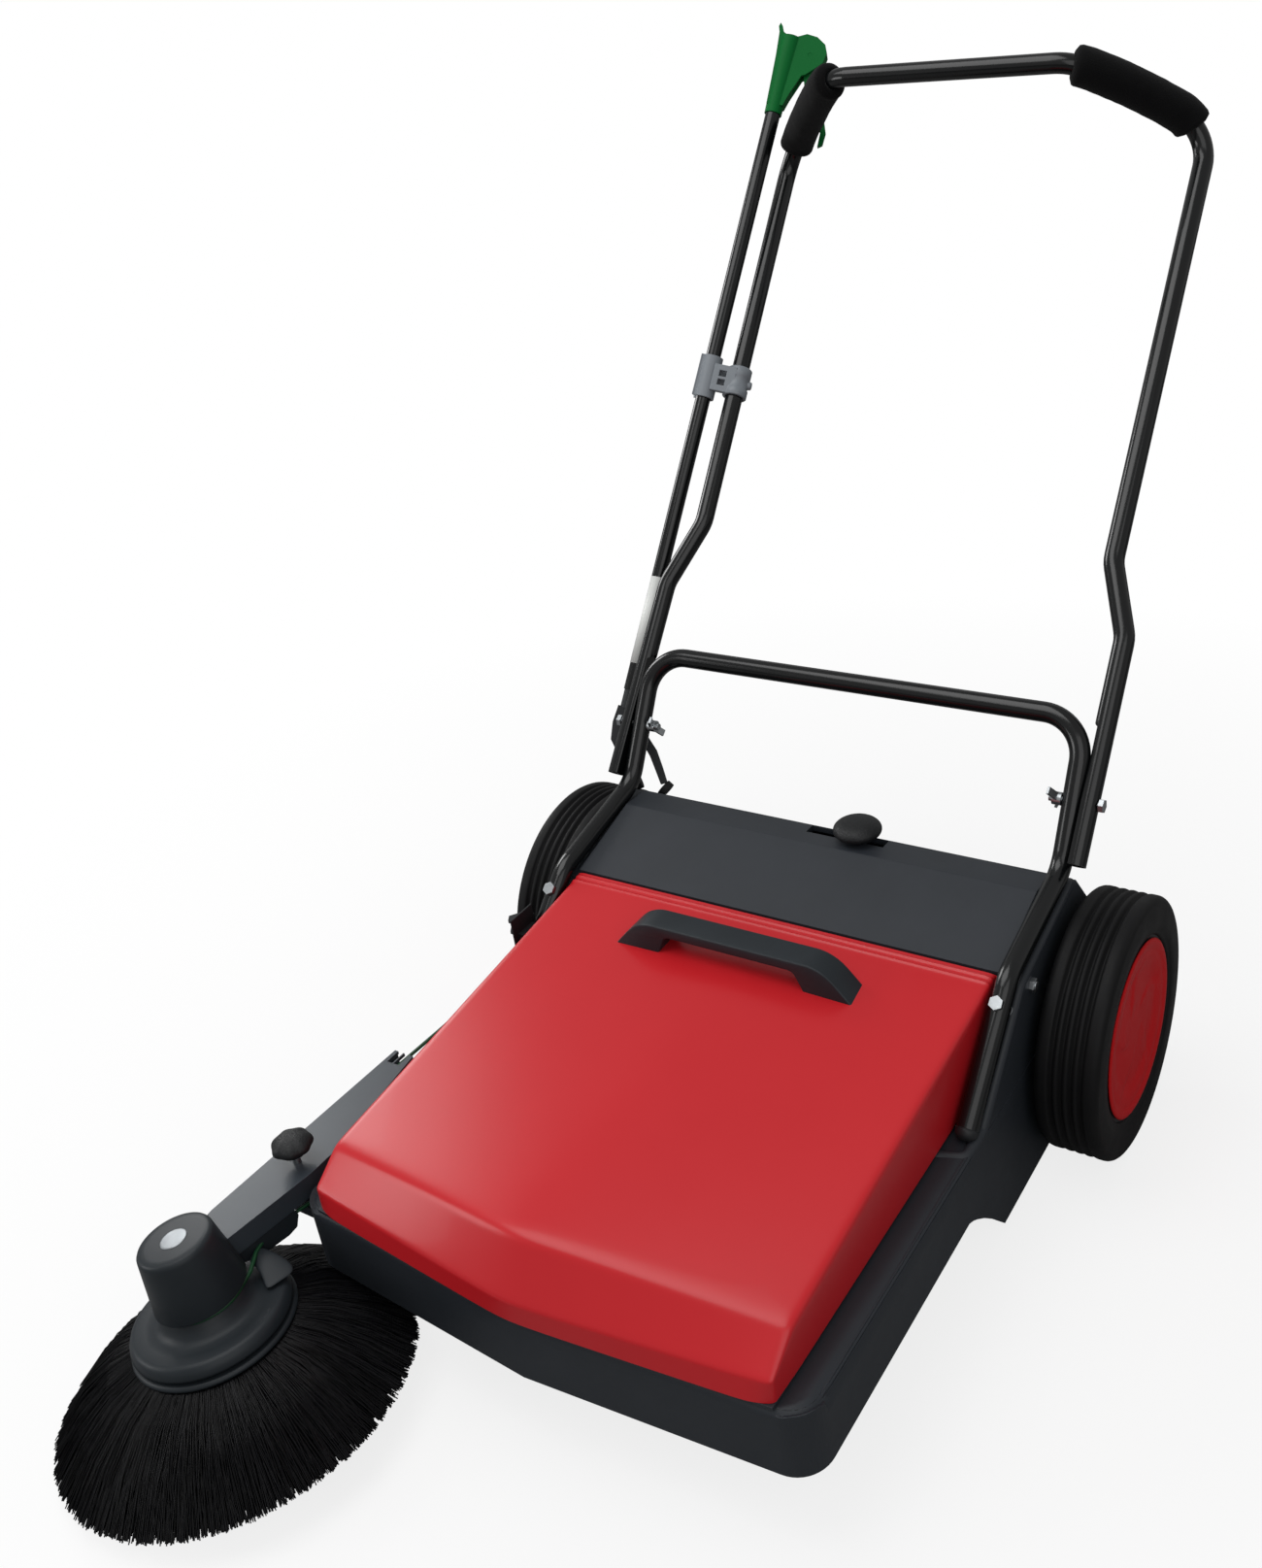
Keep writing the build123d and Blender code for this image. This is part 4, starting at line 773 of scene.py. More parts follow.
class TurnedShape(NodeShape):
    """A profile turned about an axis, with lobes if it has them."""

    def __init__(self) -> None:
        """Builds the tree: a grid whose rows are the profile's points, turned step by step."""
        super().__init__("turned_shape")
        self.takes("Int", "Rings", "Segments")
        self.takes("Float", "Lobes", "Lobe depth")
        self.takes("Rotation", "Turn")
        self.takes("Vector", "Place")
        tree, calc = self.tree, self.calc
        rings, segments = self.given("Rings"), self.given("Segments")
        columns = calc("ADD", segments, 1.0)
        grid = add(tree, "GeometryNodeMeshGrid", {"Vertices X": columns, "Vertices Y": rings})
        index = add(tree, "GeometryNodeInputIndex")
        column = calc("FLOOR", calc("DIVIDE", index, rings))
        angle = calc("MULTIPLY", calc("DIVIDE", column, segments), math.tau)
        source = {
            "Geometry": self.given("Base"),
            "Value": add(tree, "GeometryNodeInputPosition"),
            "Index": calc("MODULO", index, rings),
        }
        spot = add(tree, "GeometryNodeSampleIndex", source, data_type="FLOAT_VECTOR", domain="POINT")
        on_profile = self.split(spot)
        swell = calc("COSINE", calc("MULTIPLY", angle, self.given("Lobes")))
        gain = calc("MULTIPLY_ADD", swell, self.given("Lobe depth"), 1.0)
        radius = calc("MULTIPLY", on_profile["X"], gain)
        wound = self.bent(grid, *self.polar(radius, angle), on_profile["Z"])
        self.ends(self.moved(add(tree, "GeometryNodeMergeByDistance", {"Geometry": wound, "Distance": WELD})))

    def turn(
        self,
        name: str,
        profile: Line,
        finish: Finish,
        place: Vector,
        axis: Vector,
        segments: int = 96,
        lobes: int = 0,
        lobe_depth: float = 0.0,
    ) -> Obj:
        """Turns a closed profile about an axis.

        Args:
            name: Name of the piece.
            profile: Radius and height of each point, in millimetres, closed or ending on the axis.
            finish: Finish of the piece.
            place: Point on the axis where height is zero, in the row frame.
            axis: Direction of growing height.
            segments: Steps round the axis.
            lobes: Number of lobes on the rim.
            lobe_depth: Swell of a lobe as a share of the radius.

        Returns:
            The turned piece.
        """
        base = bpy.data.meshes.new(name + "_profile")
        base.from_pydata([(r * MM, 0.0, h * MM) for r, h in profile], [], [])
        obj = self.make(
            name,
            base,
            finish,
            Rings=len(profile),
            Segments=segments,
            Lobes=float(lobes),
            Lobe_depth=lobe_depth,
            Turn=UP.rotation_difference(axis).to_euler(),
            Place=place,
        )
        face_out(obj.data)
        return obj


class RodShape(NodeShape):
    """A round rod along a line of points, closed at its ends."""

    def __init__(self) -> None:
        """Builds the tree: the base's edges become a curve that carries a circle."""
        super().__init__("rod_shape")
        self.takes("Float", "Radius")
        line = add(self.tree, "GeometryNodeMeshToCurve", {"Mesh": self.given("Base")})
        circle = {"Resolution": 20, "Radius": self.given("Radius")}
        ring = add(self.tree, "GeometryNodeCurvePrimitiveCircle", circle)
        sweep = {"Curve": line, "Profile Curve": ring, "Fill Caps": True}
        self.ends(add(self.tree, "GeometryNodeCurveToMesh", sweep))

    def follow(self, name: str, points: Sequence[Vector], radius: float, finish: Finish) -> Obj:
        """Makes a rod along points.

        Args:
            name: Name of the piece.
            points: Points along the rod.
            radius: Its radius in millimetres.
            finish: Finish of the piece.

        Returns:
            The rod.
        """
        base = bpy.data.meshes.new(name + "_line")
        base.from_pydata([tuple(p) for p in points], [(i, i + 1) for i in range(len(points) - 1)], [])
        obj = self.make(name, base, finish, Radius=radius * MM)
        face_out(obj.data)
        return obj


class StrandShape(NodeShape):
    """Thousands of strands that leave their tufts and splay towards their tips."""

    def __init__(self, name: str) -> None:
        """Names the inputs that both brushes have."""
        super().__init__(name)
        self.takes("Int", "Strands", "Tufts", "Seed")
        self.takes("Float", "Root splay", "Tip splay", "Thickness")

    def chance(self, low: Value, high: Value, salt: int, kind: str = "FLOAT") -> Socket:
        """A random value for each strand.

        Args:
            low: Lowest value.
            high: Highest value.
            salt: Number that keeps this draw apart from the others.
            kind: FLOAT or INT.

        Returns:
            The value's socket.
        """
        first, out = (2, 1) if kind == "FLOAT" else (4, 2)
        limits = {first: low, first + 1: high, "Seed": self.calc("ADD", self.given("Seed"), float(salt))}
        return add(self.tree, "FunctionNodeRandomValue", limits, out=out, data_type=kind)

    def strands(self, bends: int, facts: dict[str, Socket]) -> Socket:
        """Straight strands, each carrying its own facts.

        Args:
            bends: Points along a strand.
            facts: Attribute name and value for each strand.

        Returns:
            Curves on which the facts can be read by name.
        """
        tree = self.tree
        cloud = add(tree, "GeometryNodePoints", {"Count": self.given("Strands")})
        for name, value in facts.items():
            stored = {"Geometry": cloud, "Name": name, "Value": value}
            cloud = add(tree, "GeometryNodeStoreNamedAttribute", stored, data_type="FLOAT", domain="POINT")
        line = add(tree, "GeometryNodeCurvePrimitiveLine")
        line = add(tree, "GeometryNodeResampleCurve", {"Curve": line, "Count": bends})
        each = add(tree, "GeometryNodeInstanceOnPoints", {"Points": cloud, "Instance": line})
        return add(tree, "GeometryNodeRealizeInstances", {"Geometry": each})

    def fact(self, name: str) -> Socket:
        """A strand's own fact, read back by name."""
        return add(self.tree, "GeometryNodeInputNamedAttribute", {"Name": name}, data_type="FLOAT")

    def along(self, start: Value, end: Value, share: Socket) -> Socket:
        """A value that runs from the strand's root to its tip."""
        return add(self.tree, "ShaderNodeMix", {0: share, 2: start, 3: end}, data_type="FLOAT")

    def tubes(self, curves: Socket) -> Socket:
        """Three-sided strands of the given thickness."""
        circle = {"Resolution": 3, "Radius": self.given("Thickness")}
        section = add(self.tree, "GeometryNodeCurvePrimitiveCircle", circle)
        return add(self.tree, "GeometryNodeCurveToMesh", {"Curve": curves, "Profile Curve": section})


class DiscStrands(StrandShape):
    """Strands of a round brush, from a ring out and down to the floor."""

    SHORTEST = 0.003
    STRAY = 0.008

    def __init__(self) -> None:
        """Builds the tree in the brush's own frame and tilts it into place."""
        super().__init__("disc_strands")
        self.takes("Float", "Root inner", "Root outer", "Tip inner", "Tip outer")
        self.takes("Float", "Root height", "Tip height", "Bow", "Floor")
        self.takes("Rotation", "Turn")
        self.takes("Vector", "Place")
        given, fact, calc, along, chance = self.given, self.fact, self.calc, self.along, self.chance
        near, far = given("Root splay"), given("Tip splay")
        facts = {
            "tuft": chance(0, given("Tufts"), 1, "INT"),
            "row": chance(0.0, 1.0, 2),
            "root": chance(calc("MULTIPLY", near, -1.0), near, 3),
            "tip": chance(calc("MULTIPLY", far, -1.0), far, 4),
            "reach": chance(-1.0, 0.0, 5),
            "lift": chance(-1.0, 1.0, 6),
            "shade": chance(0.0, 1.0, 7),
        }
        curves = self.strands(4, facts)
        share = add(self.tree, "GeometryNodeSplineParameter")
        pitch = calc("DIVIDE", math.tau, given("Tufts"))
        splay = along(fact("root"), fact("tip"), share)
        angle = calc("MULTIPLY", calc("ADD", fact("tuft"), splay), pitch)
        root = along(given("Root inner"), given("Root outer"), fact("row"))
        tip = along(given("Tip inner"), given("Tip outer"), fact("row"))
        tip = calc("ADD", tip, calc("MULTIPLY", fact("reach"), self.SHORTEST))
        arch = calc("MULTIPLY", share, calc("SUBTRACT", 1.0, share))
        crown = calc("ADD", given("Bow"), calc("MULTIPLY", fact("lift"), self.STRAY))
        height = along(given("Root height"), given("Tip height"), share)
        height = calc("ADD", height, calc("MULTIPLY", arch, crown))
        placed = self.moved(self.bent(curves, *self.polar(along(root, tip, share), angle), height))
        spot = self.split()
        above = calc("MAXIMUM", spot["Z"], given("Floor"))
        self.ends(self.tubes(self.bent(placed, spot["X"], spot["Y"], above)))


class RollerStrands(StrandShape):
    """Strands of a roller brush in rows that meet in a chevron."""

    FAN = 0.16

    def __init__(self) -> None:
        """Builds the tree about the X axis and moves it into place."""
        super().__init__("roller_strands")
        self.takes("Int", "Rows")
        self.takes("Float", "Half length", "Lead", "Core radius", "Brush radius")
        self.takes("Vector", "Place")
        given, fact, calc, chance = self.given, self.fact, self.calc, self.chance
        facts = {
            "row": chance(0, given("Rows"), 1, "INT"),
            "tuft": chance(0, given("Tufts"), 2, "INT"),
            "root": chance(-1.0, 1.0, 3),
            "tip": chance(-1.0, 1.0, 4),
            "swing": chance(-1.0, 1.0, 5),
            "shade": chance(0.0, 1.0, 6),
        }
        curves = self.strands(3, facts)
        share = add(self.tree, "GeometryNodeSplineParameter")
        near = calc("MULTIPLY", fact("root"), given("Root splay"))
        far = calc("MULTIPLY", fact("tip"), given("Tip splay"))
        number = calc("ADD", fact("tuft"), self.along(near, far, share))
        unit = calc("DIVIDE", calc("ADD", number, 0.5), given("Tufts"))
        signed = calc("MULTIPLY_ADD", unit, 2.0, -1.0)
        held = add(self.tree, "ShaderNodeClamp", {"Value": signed, "Min": -1.0, "Max": 1.0})
        x = calc("MULTIPLY", held, given("Half length"))
        lead = calc("MULTIPLY", calc("ABSOLUTE", held), given("Lead"))
        pitch = calc("DIVIDE", math.tau, given("Rows"))
        fan = calc("MULTIPLY", calc("MULTIPLY", fact("swing"), share), given("Tip splay"))
        turn = calc("MULTIPLY_ADD", fact("row"), pitch, lead)
        angle = calc("MULTIPLY_ADD", fan, self.FAN, turn)
        radius = self.along(given("Core radius"), given("Brush radius"), share)
        self.ends(self.tubes(self.bent(curves, x, *self.polar(radius, angle), Offset=given("Place"))))


@dataclass
class Hood:
    """Red lid over the dirt container, a thin draped sheet. Sizes in millimetres.

    Pairs hold a value at the middle and at the sides. Columns and shares place the rows of control points.
    """

    shop: Workshop
    half_width: float = 256.0
    rear_y: float = -122.0
    rear_z: float = 265.0
    rear_turn: float = 7.0
    crease_y: Pair = (-583.0, -549.0)
    crease_z: Pair = (236.0, 213.0)
    lip_y: Pair = (-615.0, -587.0)
    lip_z: float = 187.0
    foot_y: Pair = (-615.5, -592.0)
    foot_z: float = 164.0
    taper: float = 2.5
    front_taper: float = 1.5
    wall: float = 3.0
    ridges: Pair = (-130.0, -138.0)
    ridge_rise: float = 2.1
    ridge_half: float = 1.8
    rear_hold: float = 3.5
    ridge_hold: float = 8.0
    top_turn: float = 0.17
    corner_from: float = 0.94
    corner_spread: float = 0.6
    half_columns: tuple[float, ...] = (0.09, 0.3, 0.6, 0.87, 0.955, 1.0)
    top_shares: tuple[float, ...] = (0.12, 0.3, 0.5, 0.7, 0.86, 0.95, 1.0)
    front_shares: tuple[float, ...] = (0.18, 0.5, 0.85, 1.0)
    drop_shares: tuple[float, ...] = (0.09, 0.45, 0.93, 1.0)
    edge_drop: float = 11.0
    edge_below: float = 0.2

    @staticmethod
    def between(ends: Pair, c: float, turn: float = 0.0548) -> float:
        """Value between the middle and the sides, with a soft turn in the middle."""
        soft = (math.hypot(c, turn) - turn) / (math.hypot(1.0, turn) - turn)
        return ends[0] + (ends[1] - ends[0]) * soft

    def top(self, x: float, y: float) -> float:
        """Height of the top sheet, ruled from the straight rear edge to the crease."""
        c = abs(x) / self.half_width
        crease_z = self.between(self.crease_z, c, self.top_turn)
        share = (self.rear_y - y) / (self.rear_y - self.between(self.crease_y, c))
        return self.rear_z + (crease_z - self.rear_z) * min(share, 1.0)

    def sheet(self) -> tuple[list[list[Vector]], list[Vector]]:
        """Control rows of the top sheet and the foot line below its outline.

        Returns:
            Rows from the rear edge to the lip, from left to right, and the foot's points in outline order.
        """
        columns = [-c for c in reversed(self.half_columns)] + [0.0, *self.half_columns]
        at = self.shop.datum.at
        rows: list[list[Vector]] = []
        rear = [(self.rear_y, -self.rear_turn), (self.rear_y, 0.0), (self.rear_y - self.rear_hold, 0.0)]
        for ridge in self.ridges:
            rear += [(ridge + self.ridge_half, 0.0), (ridge, self.ridge_rise), (ridge - self.ridge_half, 0.0)]
        rear.append((self.ridges[-1] - self.ridge_hold, 0.0))
        for y, rise in rear:
            spots = [c * self.half_width for c in columns]
            rows.append([at(x, y, self.top(x, y) + rise) for x in spots])
        for share in self.top_shares:
            row = []
            for c in columns:
                x = c * (self.half_width - self.taper * share)
                y = self.rear_y + (self.between(self.crease_y, c) - self.rear_y) * share
                row.append(at(x, y, self.top(x, y)))
            rows.append(row)
        for share in self.front_shares:
            row = []
            for c in columns:
                inset = c
                if abs(c) >= self.corner_from:
                    inset = math.copysign(1.0 - (1.0 - abs(c)) * (1.0 + self.corner_spread * share), c)
                width = self.half_width - self.taper - self.front_taper * share
                y = self.between(self.crease_y, c)
                z = self.top(c * width, y)
                y += (self.between(self.lip_y, c) - y) * share
                row.append(at(inset * width, y, z + (self.lip_z - z) * share))
            rows.append(row)
        foot = [Vector((row[0].x, row[0].y, self.foot_z * MM)) for row in rows[1:]]
        for c, p in zip(columns[1:-1], rows[-1][1:-1]):
            foot.append(at(self.shop.datum.read(p).x, self.between(self.foot_y, c), self.foot_z))
        foot += [Vector((row[-1].x, row[-1].y, self.foot_z * MM)) for row in rows[:0:-1]]
        return rows, foot

    def build(self) -> Obj:
        """Builds the sheet with its skirt, then rounds and thickens it."""
        rows, foot = self.sheet()
        width = len(rows[0])
        points = [p for row in rows for p in row]
        faces = net(len(rows), width)
        outline = [i * width for i in range(1, len(rows))]
        outline += [(len(rows) - 1) * width + j for j in range(1, width - 1)]
        outline += [i * width + width - 1 for i in range(len(rows) - 1, 0, -1)]
        above = outline
        for share in self.drop_shares:
            level = []
            for edge, low in zip(outline, foot):
                high = points[edge]
                drop = share
                if share < self.edge_below:
                    drop = min(2 * share, self.edge_drop * MM / (high - low).length)
                level.append(len(points))
                points.append(high.lerp(low, drop))
            for k in range(len(outline) - 1):
                faces.append((above[k], level[k], level[k + 1], above[k + 1]))
            above = level
        obj = solid("hood_shell", points, faces)
        if sum(p.normal.z for p in obj.data.polygons) < 0:
            obj.data.flip_normals()
        modify(obj, "SUBSURF", levels=3, render_levels=3)
        modify(obj, "SOLIDIFY", thickness=self.wall * MM, offset=-1.0)
        settle(obj)
        return self.shop.keep(obj, "hood", "red_plastic", "hood", finish=RED)


@dataclass
class GrabHandle:
    """Bar across the hood on two flared feet. Sizes in millimetres."""

    shop: Workshop
    over: Line = ((-147.0, 250.0), (-110.0, 291.0), (110.0, 291.0), (147.0, 250.0))
    under: Line = ((90.0, 250.0), (77.0, 279.0), (-77.0, 279.0), (-90.0, 250.0))
    over_round: float = 46.0
    under_round: float = 9.0
    step: float = 4.0
    front_y: float = -214.0
    rear_y: float = -182.0
    rounding: float = 5.6
    sharp_angle: float = 28.0

    def build(self) -> Obj:
        """Draws the side view, gives it its width and rounds its edges."""
        at = self.shop.datum.at
        line: list[Vector] = []
        for corners, radius in ((self.over, self.over_round), (self.under, self.under_round)):
            line += rounded_route([Vector((x, 0, z)) for x, z in corners], radius, self.step)
        sides = ([at(p.x, y, p.z) for p in line] for y in (self.front_y, self.rear_y))
        obj = solid("grab_bar", *prism(*sides))
        modify(
            obj,
            "BEVEL",
            width=self.rounding * MM,
            segments=5,
            limit_method="ANGLE",
            angle_limit=math.radians(self.sharp_angle),
            harden_normals=True,
        )
        settle(obj)
        return self.shop.keep(obj, "hood", "charcoal_plastic", "hood_handle", finish=SLATE)


@dataclass
class HubCover:
    """Red dish in the wheel with shallow swirled blades. Sizes in millimetres.

    Stops are shares of the radius with the depth there. A blade grows and fades at a share, over a run.
    The twist is in quarter turns.
    """

    shop: Workshop
    side: Side
    stops: Line = (
        (0.0, -5.5), (0.3, -5.5), (0.62, -6.4), (0.86, -1.9), (0.955, 0.0), (0.985, -0.25), (1.0, -1.4),
    )
    blades: int = 5
    twist: float = 0.85
    blade_rise: float = 1.5
    grows: Pair = (0.2, 0.18)
    fades: Pair = (0.84, 0.12)
    softness: float = 0.4
    crease: float = 0.14
    wall: float = 2.0
    rings: int = 56
    segments: int = 180

    def dish(self, share: float) -> float:
        """Depth of the dish below its rim at a share of the radius."""
        for (a, low), (b, high) in zip(self.stops, self.stops[1:]):
            if share <= b:
                t = (share - a) / (b - a)
                return low + (high - low) * t * t * (3 - 2 * t)
        return self.stops[-1][1]

    def blade(self, share: float, angle: float) -> float:
        """Rise of a blade, which falls off at a soft crease beside the next one."""
        (start, rise), (end, fall) = self.grows, self.fades
        grow = min(max((share - start) / rise, 0.0), 1.0) * min(max((end - share) / fall, 0.0), 1.0)
        phase = (angle / math.tau * self.blades + self.twist * share * self.blades / 4) % 1.0
        ramp = phase / (1 - self.crease) if phase < 1 - self.crease else (1 - phase) / self.crease
        eased = ramp * ramp * (3 - 2 * ramp)
        return self.blade_rise * grow * (eased * self.softness + ramp * (1 - self.softness))

    def build(self) -> Obj:
        """Draws the dish ring by ring and thickens it."""
        label, out = self.side.label, self.side.value
        low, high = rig.box(label + "_hub_cover")
        face = high.x if self.side is Side.RIGHT else low.x
        _, y, z = (low + high) / 2
        radius = (high.y - low.y) / 2
        points = [Vector((face + out * self.dish(0.0) * MM, y, z))]
        for i in range(1, self.rings + 1):
            share = i / self.rings
            for k in range(self.segments):
                a = math.tau * k / self.segments
                rise = self.dish(share) + self.blade(share, a)
                away = Vector((0, math.cos(a), math.sin(a))) * radius * share
                points.append(Vector((face + out * rise * MM, y, z)) + away)
        faces: list[tuple[int, ...]] = [(0, 1 + k, 1 + (k + 1) % self.segments) for k in range(self.segments)]
        faces += [tuple(1 + k for k in quad) for quad in net(self.rings, self.segments, ring=True)]
        mesh = mesh_of(label + "_hub_dish", points, faces)
        if mesh.polygons[0].normal.x * out < 0:
            mesh.flip_normals()
        obj = piece(label + "_hub_dish", mesh)
        modify(obj, "SOLIDIFY", thickness=self.wall * MM, offset=-1.0)
        settle(obj)
        return self.shop.keep(obj, label + "_wheel", "red_plastic", label + "_hub_cover", finish=RED_HUB)


@dataclass
class Chassis:
    """Tray moulding whose shoulder beside the hood is broadly rounded. Sizes in millimetres.

    The strips are cut at steps below the rim, in from the sides and back from the nose.
    """

    shop: Workshop
    half_width: float = 284.0
    nose_y: float = -610.0
    nose_side_y: float = -589.0
    corner: float = 34.0
    rim_z: float = 160.0
    shoulder_end_y: float = -236.0
    side_round: float = 19.0
    front_round: float = 8.0
    rim_steps: tuple[float, ...] = (1.2, 2.6, 4.6, 7, 10, 13, 16, 19.2)
    side_steps: tuple[float, ...] = (1.2, 2.8, 5, 8, 11, 14.5, 19.2)
    nose_steps: tuple[float, ...] = (4, 8, 12, 16, 20, 25, 30, 36)
    rim_slack: float = 1.0
    side_slack: float = 0.3
    sharp_angle: float = 32.0

    def inset(self, x: float, y: float) -> tuple[float, Vector, float]:
        """Where a point lies inside the outline.

        Args:
            x: Distance from the mid-plane.
            y: Distance along the machine.

        Returns:
            Distance from the outline, direction away from it, and how far the point belongs to the nose.
        """
        side = math.copysign(1.0, x)
        slope = Vector((-side * (self.nose_side_y - self.nose_y), self.half_width, 0)).normalized()
        from_side = self.half_width - abs(x)
        from_nose = (Vector((x, y, 0)) - Vector((0, self.nose_y, 0))).dot(slope)
        near_side = max(self.corner - from_side, 0.0)
        near_nose = max(self.corner - from_nose, 0.0)
        if near_side and near_nose:
            reach = math.hypot(near_side, near_nose)
            away = (Vector((-side, 0, 0)) * near_side + slope * near_nose).normalized()
            return self.corner - reach, away, near_nose / (near_side + near_nose)
        if from_side < from_nose:
            return from_side, Vector((-side, 0, 0)), 0.0
        return from_nose, slope, 1.0

    def rounded(self, spot: Vector) -> Vector:
        """Point of the moulding, pulled onto the shoulder's rounding."""
        if spot.y > self.shoulder_end_y or spot.z > self.rim_z + self.rim_slack:
            return spot
        depth, away, nose = self.inset(spot.x, spot.y)
        radius = self.side_round + (self.front_round - self.side_round) * nose
        over = radius - depth
        above = spot.z - (self.rim_z - radius)
        reach = math.hypot(over, above)
        if depth < -self.side_slack or over <= 0 or above <= 0 or reach <= radius:
            return spot
        moved = spot + away * (over - over / reach * radius)
        moved.z = self.rim_z - radius + above / reach * radius
        return moved

    def build(self) -> Obj:
        """Cuts a merged copy of the solid into strips and pulls them onto the rounding."""
        shape = self.shop.merged("chassis")
        at = self.shop.datum.at
        across, along = Vector((1, 0, 0)), Vector((0, 1, 0))
        for k in self.rim_steps:
            cut(shape, at(0, 0, self.rim_z - k), UP)
        for k in self.side_steps:
            for side in Side:
                cut(shape, at(side.value * (self.half_width - k), 0, 0), across)
        for y in [self.nose_side_y + k for k in self.nose_steps] + [self.shoulder_end_y]:
            cut(shape, at(0, y, 0), along)
        for vert in shape.verts:
            vert.co = at(*self.rounded(self.shop.datum.read(vert.co)))
        obj = piece_of("tray_moulding", shape)
        obj.data.polygons.foreach_set("use_smooth", [True] * len(obj.data.polygons))
        obj.data.set_sharp_from_angle(angle=math.radians(self.sharp_angle))
        modify(obj, "WEIGHTED_NORMAL", keep_sharp=True)
        settle(obj, smooth=False)
        return self.shop.keep(obj, "chassis", "charcoal_plastic", "chassis", finish=CHARCOAL)


@dataclass
class RearHousing:
    """Rolled beads along the wings' edges and round the bow's feet, with plugs in the feet.

    Sizes in millimetres.
    """

    shop: Workshop
    bead_radius: float = 6.0
    bead_round: float = 9.0
    bead_step: float = 3.0
    bead_line: tuple[Point, ...] = (
        (277.5, 89.0, 209.0), (277.5, 24.0, 287.0), (278.5, -119.0, 256.5), (279.5, -229.0, 160.5),
        (278.0, -264.0, 156.0), (250.0, -274.0, 156.0),
    )
    foot: Point = (271.0, -243.2, 168.8)
    foot_way: Point = (0.0, -0.7446, -0.6675)
    plug_line: Line = (
        (0.0, -2.0), (11.2, -2.0), (11.3, 1.0), (10.7, 4.2), (9.0, 6.8), (6.3, 8.6), (3.2, 9.5), (0.0, 9.8),
    )

    def build(self) -> None:
        """Lays one bead and one plug on each side."""
        at = self.shop.datum.at
        for side in Side:
            corners = [Vector((side.value * x, y, z)) for x, y, z in self.bead_line]
            route = [at(*p) for p in rounded_route(corners, self.bead_round, self.bead_step)]
            bead = self.shop.rods.follow(side.label + "_wing_bead", route, self.bead_radius, CHARCOAL)
            self.shop.keep(bead, "chassis", "charcoal_plastic")
            x, y, z = self.foot
            place, way = at(side.value * x, y, z), Vector(self.foot_way)
            name = side.label + "_foot_plug"
            plug = self.shop.turner.turn(name, self.plug_line, DARK, place, way, segments=48)
            self.shop.keep(plug, "chassis", "dark_plastic")


@dataclass
class DustLips:
    """Rubber lips round the roller, the front one cut back at its lower corners. Sizes in millimetres."""

    shop: Workshop
    front_before: float = -150.0
    low_below: float = 20.0
    corner: float = 205.0

    def build(self) -> Obj:
        """Cuts the corners of a merged copy of the solids."""
        datum = self.shop.datum
        shape = self.shop.merged("dust_lips")
        for vert in shape.verts:
            spot = datum.read(vert.co)
            if spot.y < self.front_before and spot.z < self.low_below and abs(spot.x) > self.corner:
                vert.co = datum.at(math.copysign(self.corner, spot.x), spot.y, spot.z)
        obj = piece_of("lip_rubber", shape)
        return self.shop.keep(obj, "chassis", "rubber", "dust_lips", finish=RUBBER)


@dataclass
class Wheel:
    """Road wheel: solid tyre with round ribs on its tread. Sizes in millimetres.

    A groove's lip is drawn as depth and distance beyond its half width, a bead as height over the rim and
    distance from the tyre's face.
    """

    shop: Workshop
    side: Side
    radius: float = 140.0
    width: float = 66.5
    rim_radius: float = 99.0
    wall_high: float = 22.0
    grooves: int = 4
    groove_depth: float = 5.4
    groove_half: float = 2.3
    groove_lip: Line = ((0.2, 1.6), (1.2, 0.3))
    groove_foot: float = 0.8
    inner_bead: Line = ((0.3, 2.0), (3.0, 0.6))
    outer_bead: Line = ((9.0, 0.4), (7.5, 1.6), (3.0, 2.0), (0.3, 3.5))
    shoulder: float = 8.0
    arc_steps: int = 5

    def profile(self) -> list[Pair]:
        """Closed section of the tyre, radius against width from its inner face."""
        r, w, rim = self.radius, self.width, self.rim_radius
        half, foot = self.groove_half, self.groove_half - self.groove_foot
        arc = []
        for i in range(self.arc_steps + 1):
            a = math.pi / 2 * i / self.arc_steps
            arc.append((r - self.shoulder * (1 - math.sin(a)), self.shoulder * (1 - math.cos(a))))
        line = [*((rim + up, off) for up, off in self.inner_bead), (r - self.wall_high, 0.0), *arc]
        pitch = (w - 2 * self.shoulder) / (self.grooves + 1)
        bottom = r - self.groove_depth
        lip = self.groove_lip
        groove = [(r, -pitch / 2), *((r - deep, -half - off) for deep, off in lip), (bottom, -foot)]
        groove += [(bottom, foot), *((r - deep, half + off) for deep, off in reversed(lip))]
        for g in range(1, self.grooves + 1):
            line += [(at, self.shoulder + pitch * g + off) for at, off in groove]
        line.append((r, w - self.shoulder - pitch / 2))
        line += [(at, w - off) for at, off in reversed(arc)]
        line += [(r - self.wall_high, w), *((rim + up, w - off) for up, off in self.outer_bead)]
        return line + line[:1]

    def build(self) -> Obj:
        """Turns the tyre about the axle."""
        label = self.side.label
        low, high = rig.box(label + "_tyre")
        inner = low.x if self.side is Side.RIGHT else high.x
        _, y, z = (low + high) / 2
        axis = Vector((self.side.value, 0, 0))
        place, line = Vector((inner, y, z)), self.profile()
        obj = self.shop.turner.turn(label + "_tread", line, TYRE, place, axis, segments=128)
        return self.shop.keep(obj, label + "_wheel", "tyre_rubber", label + "_tyre")


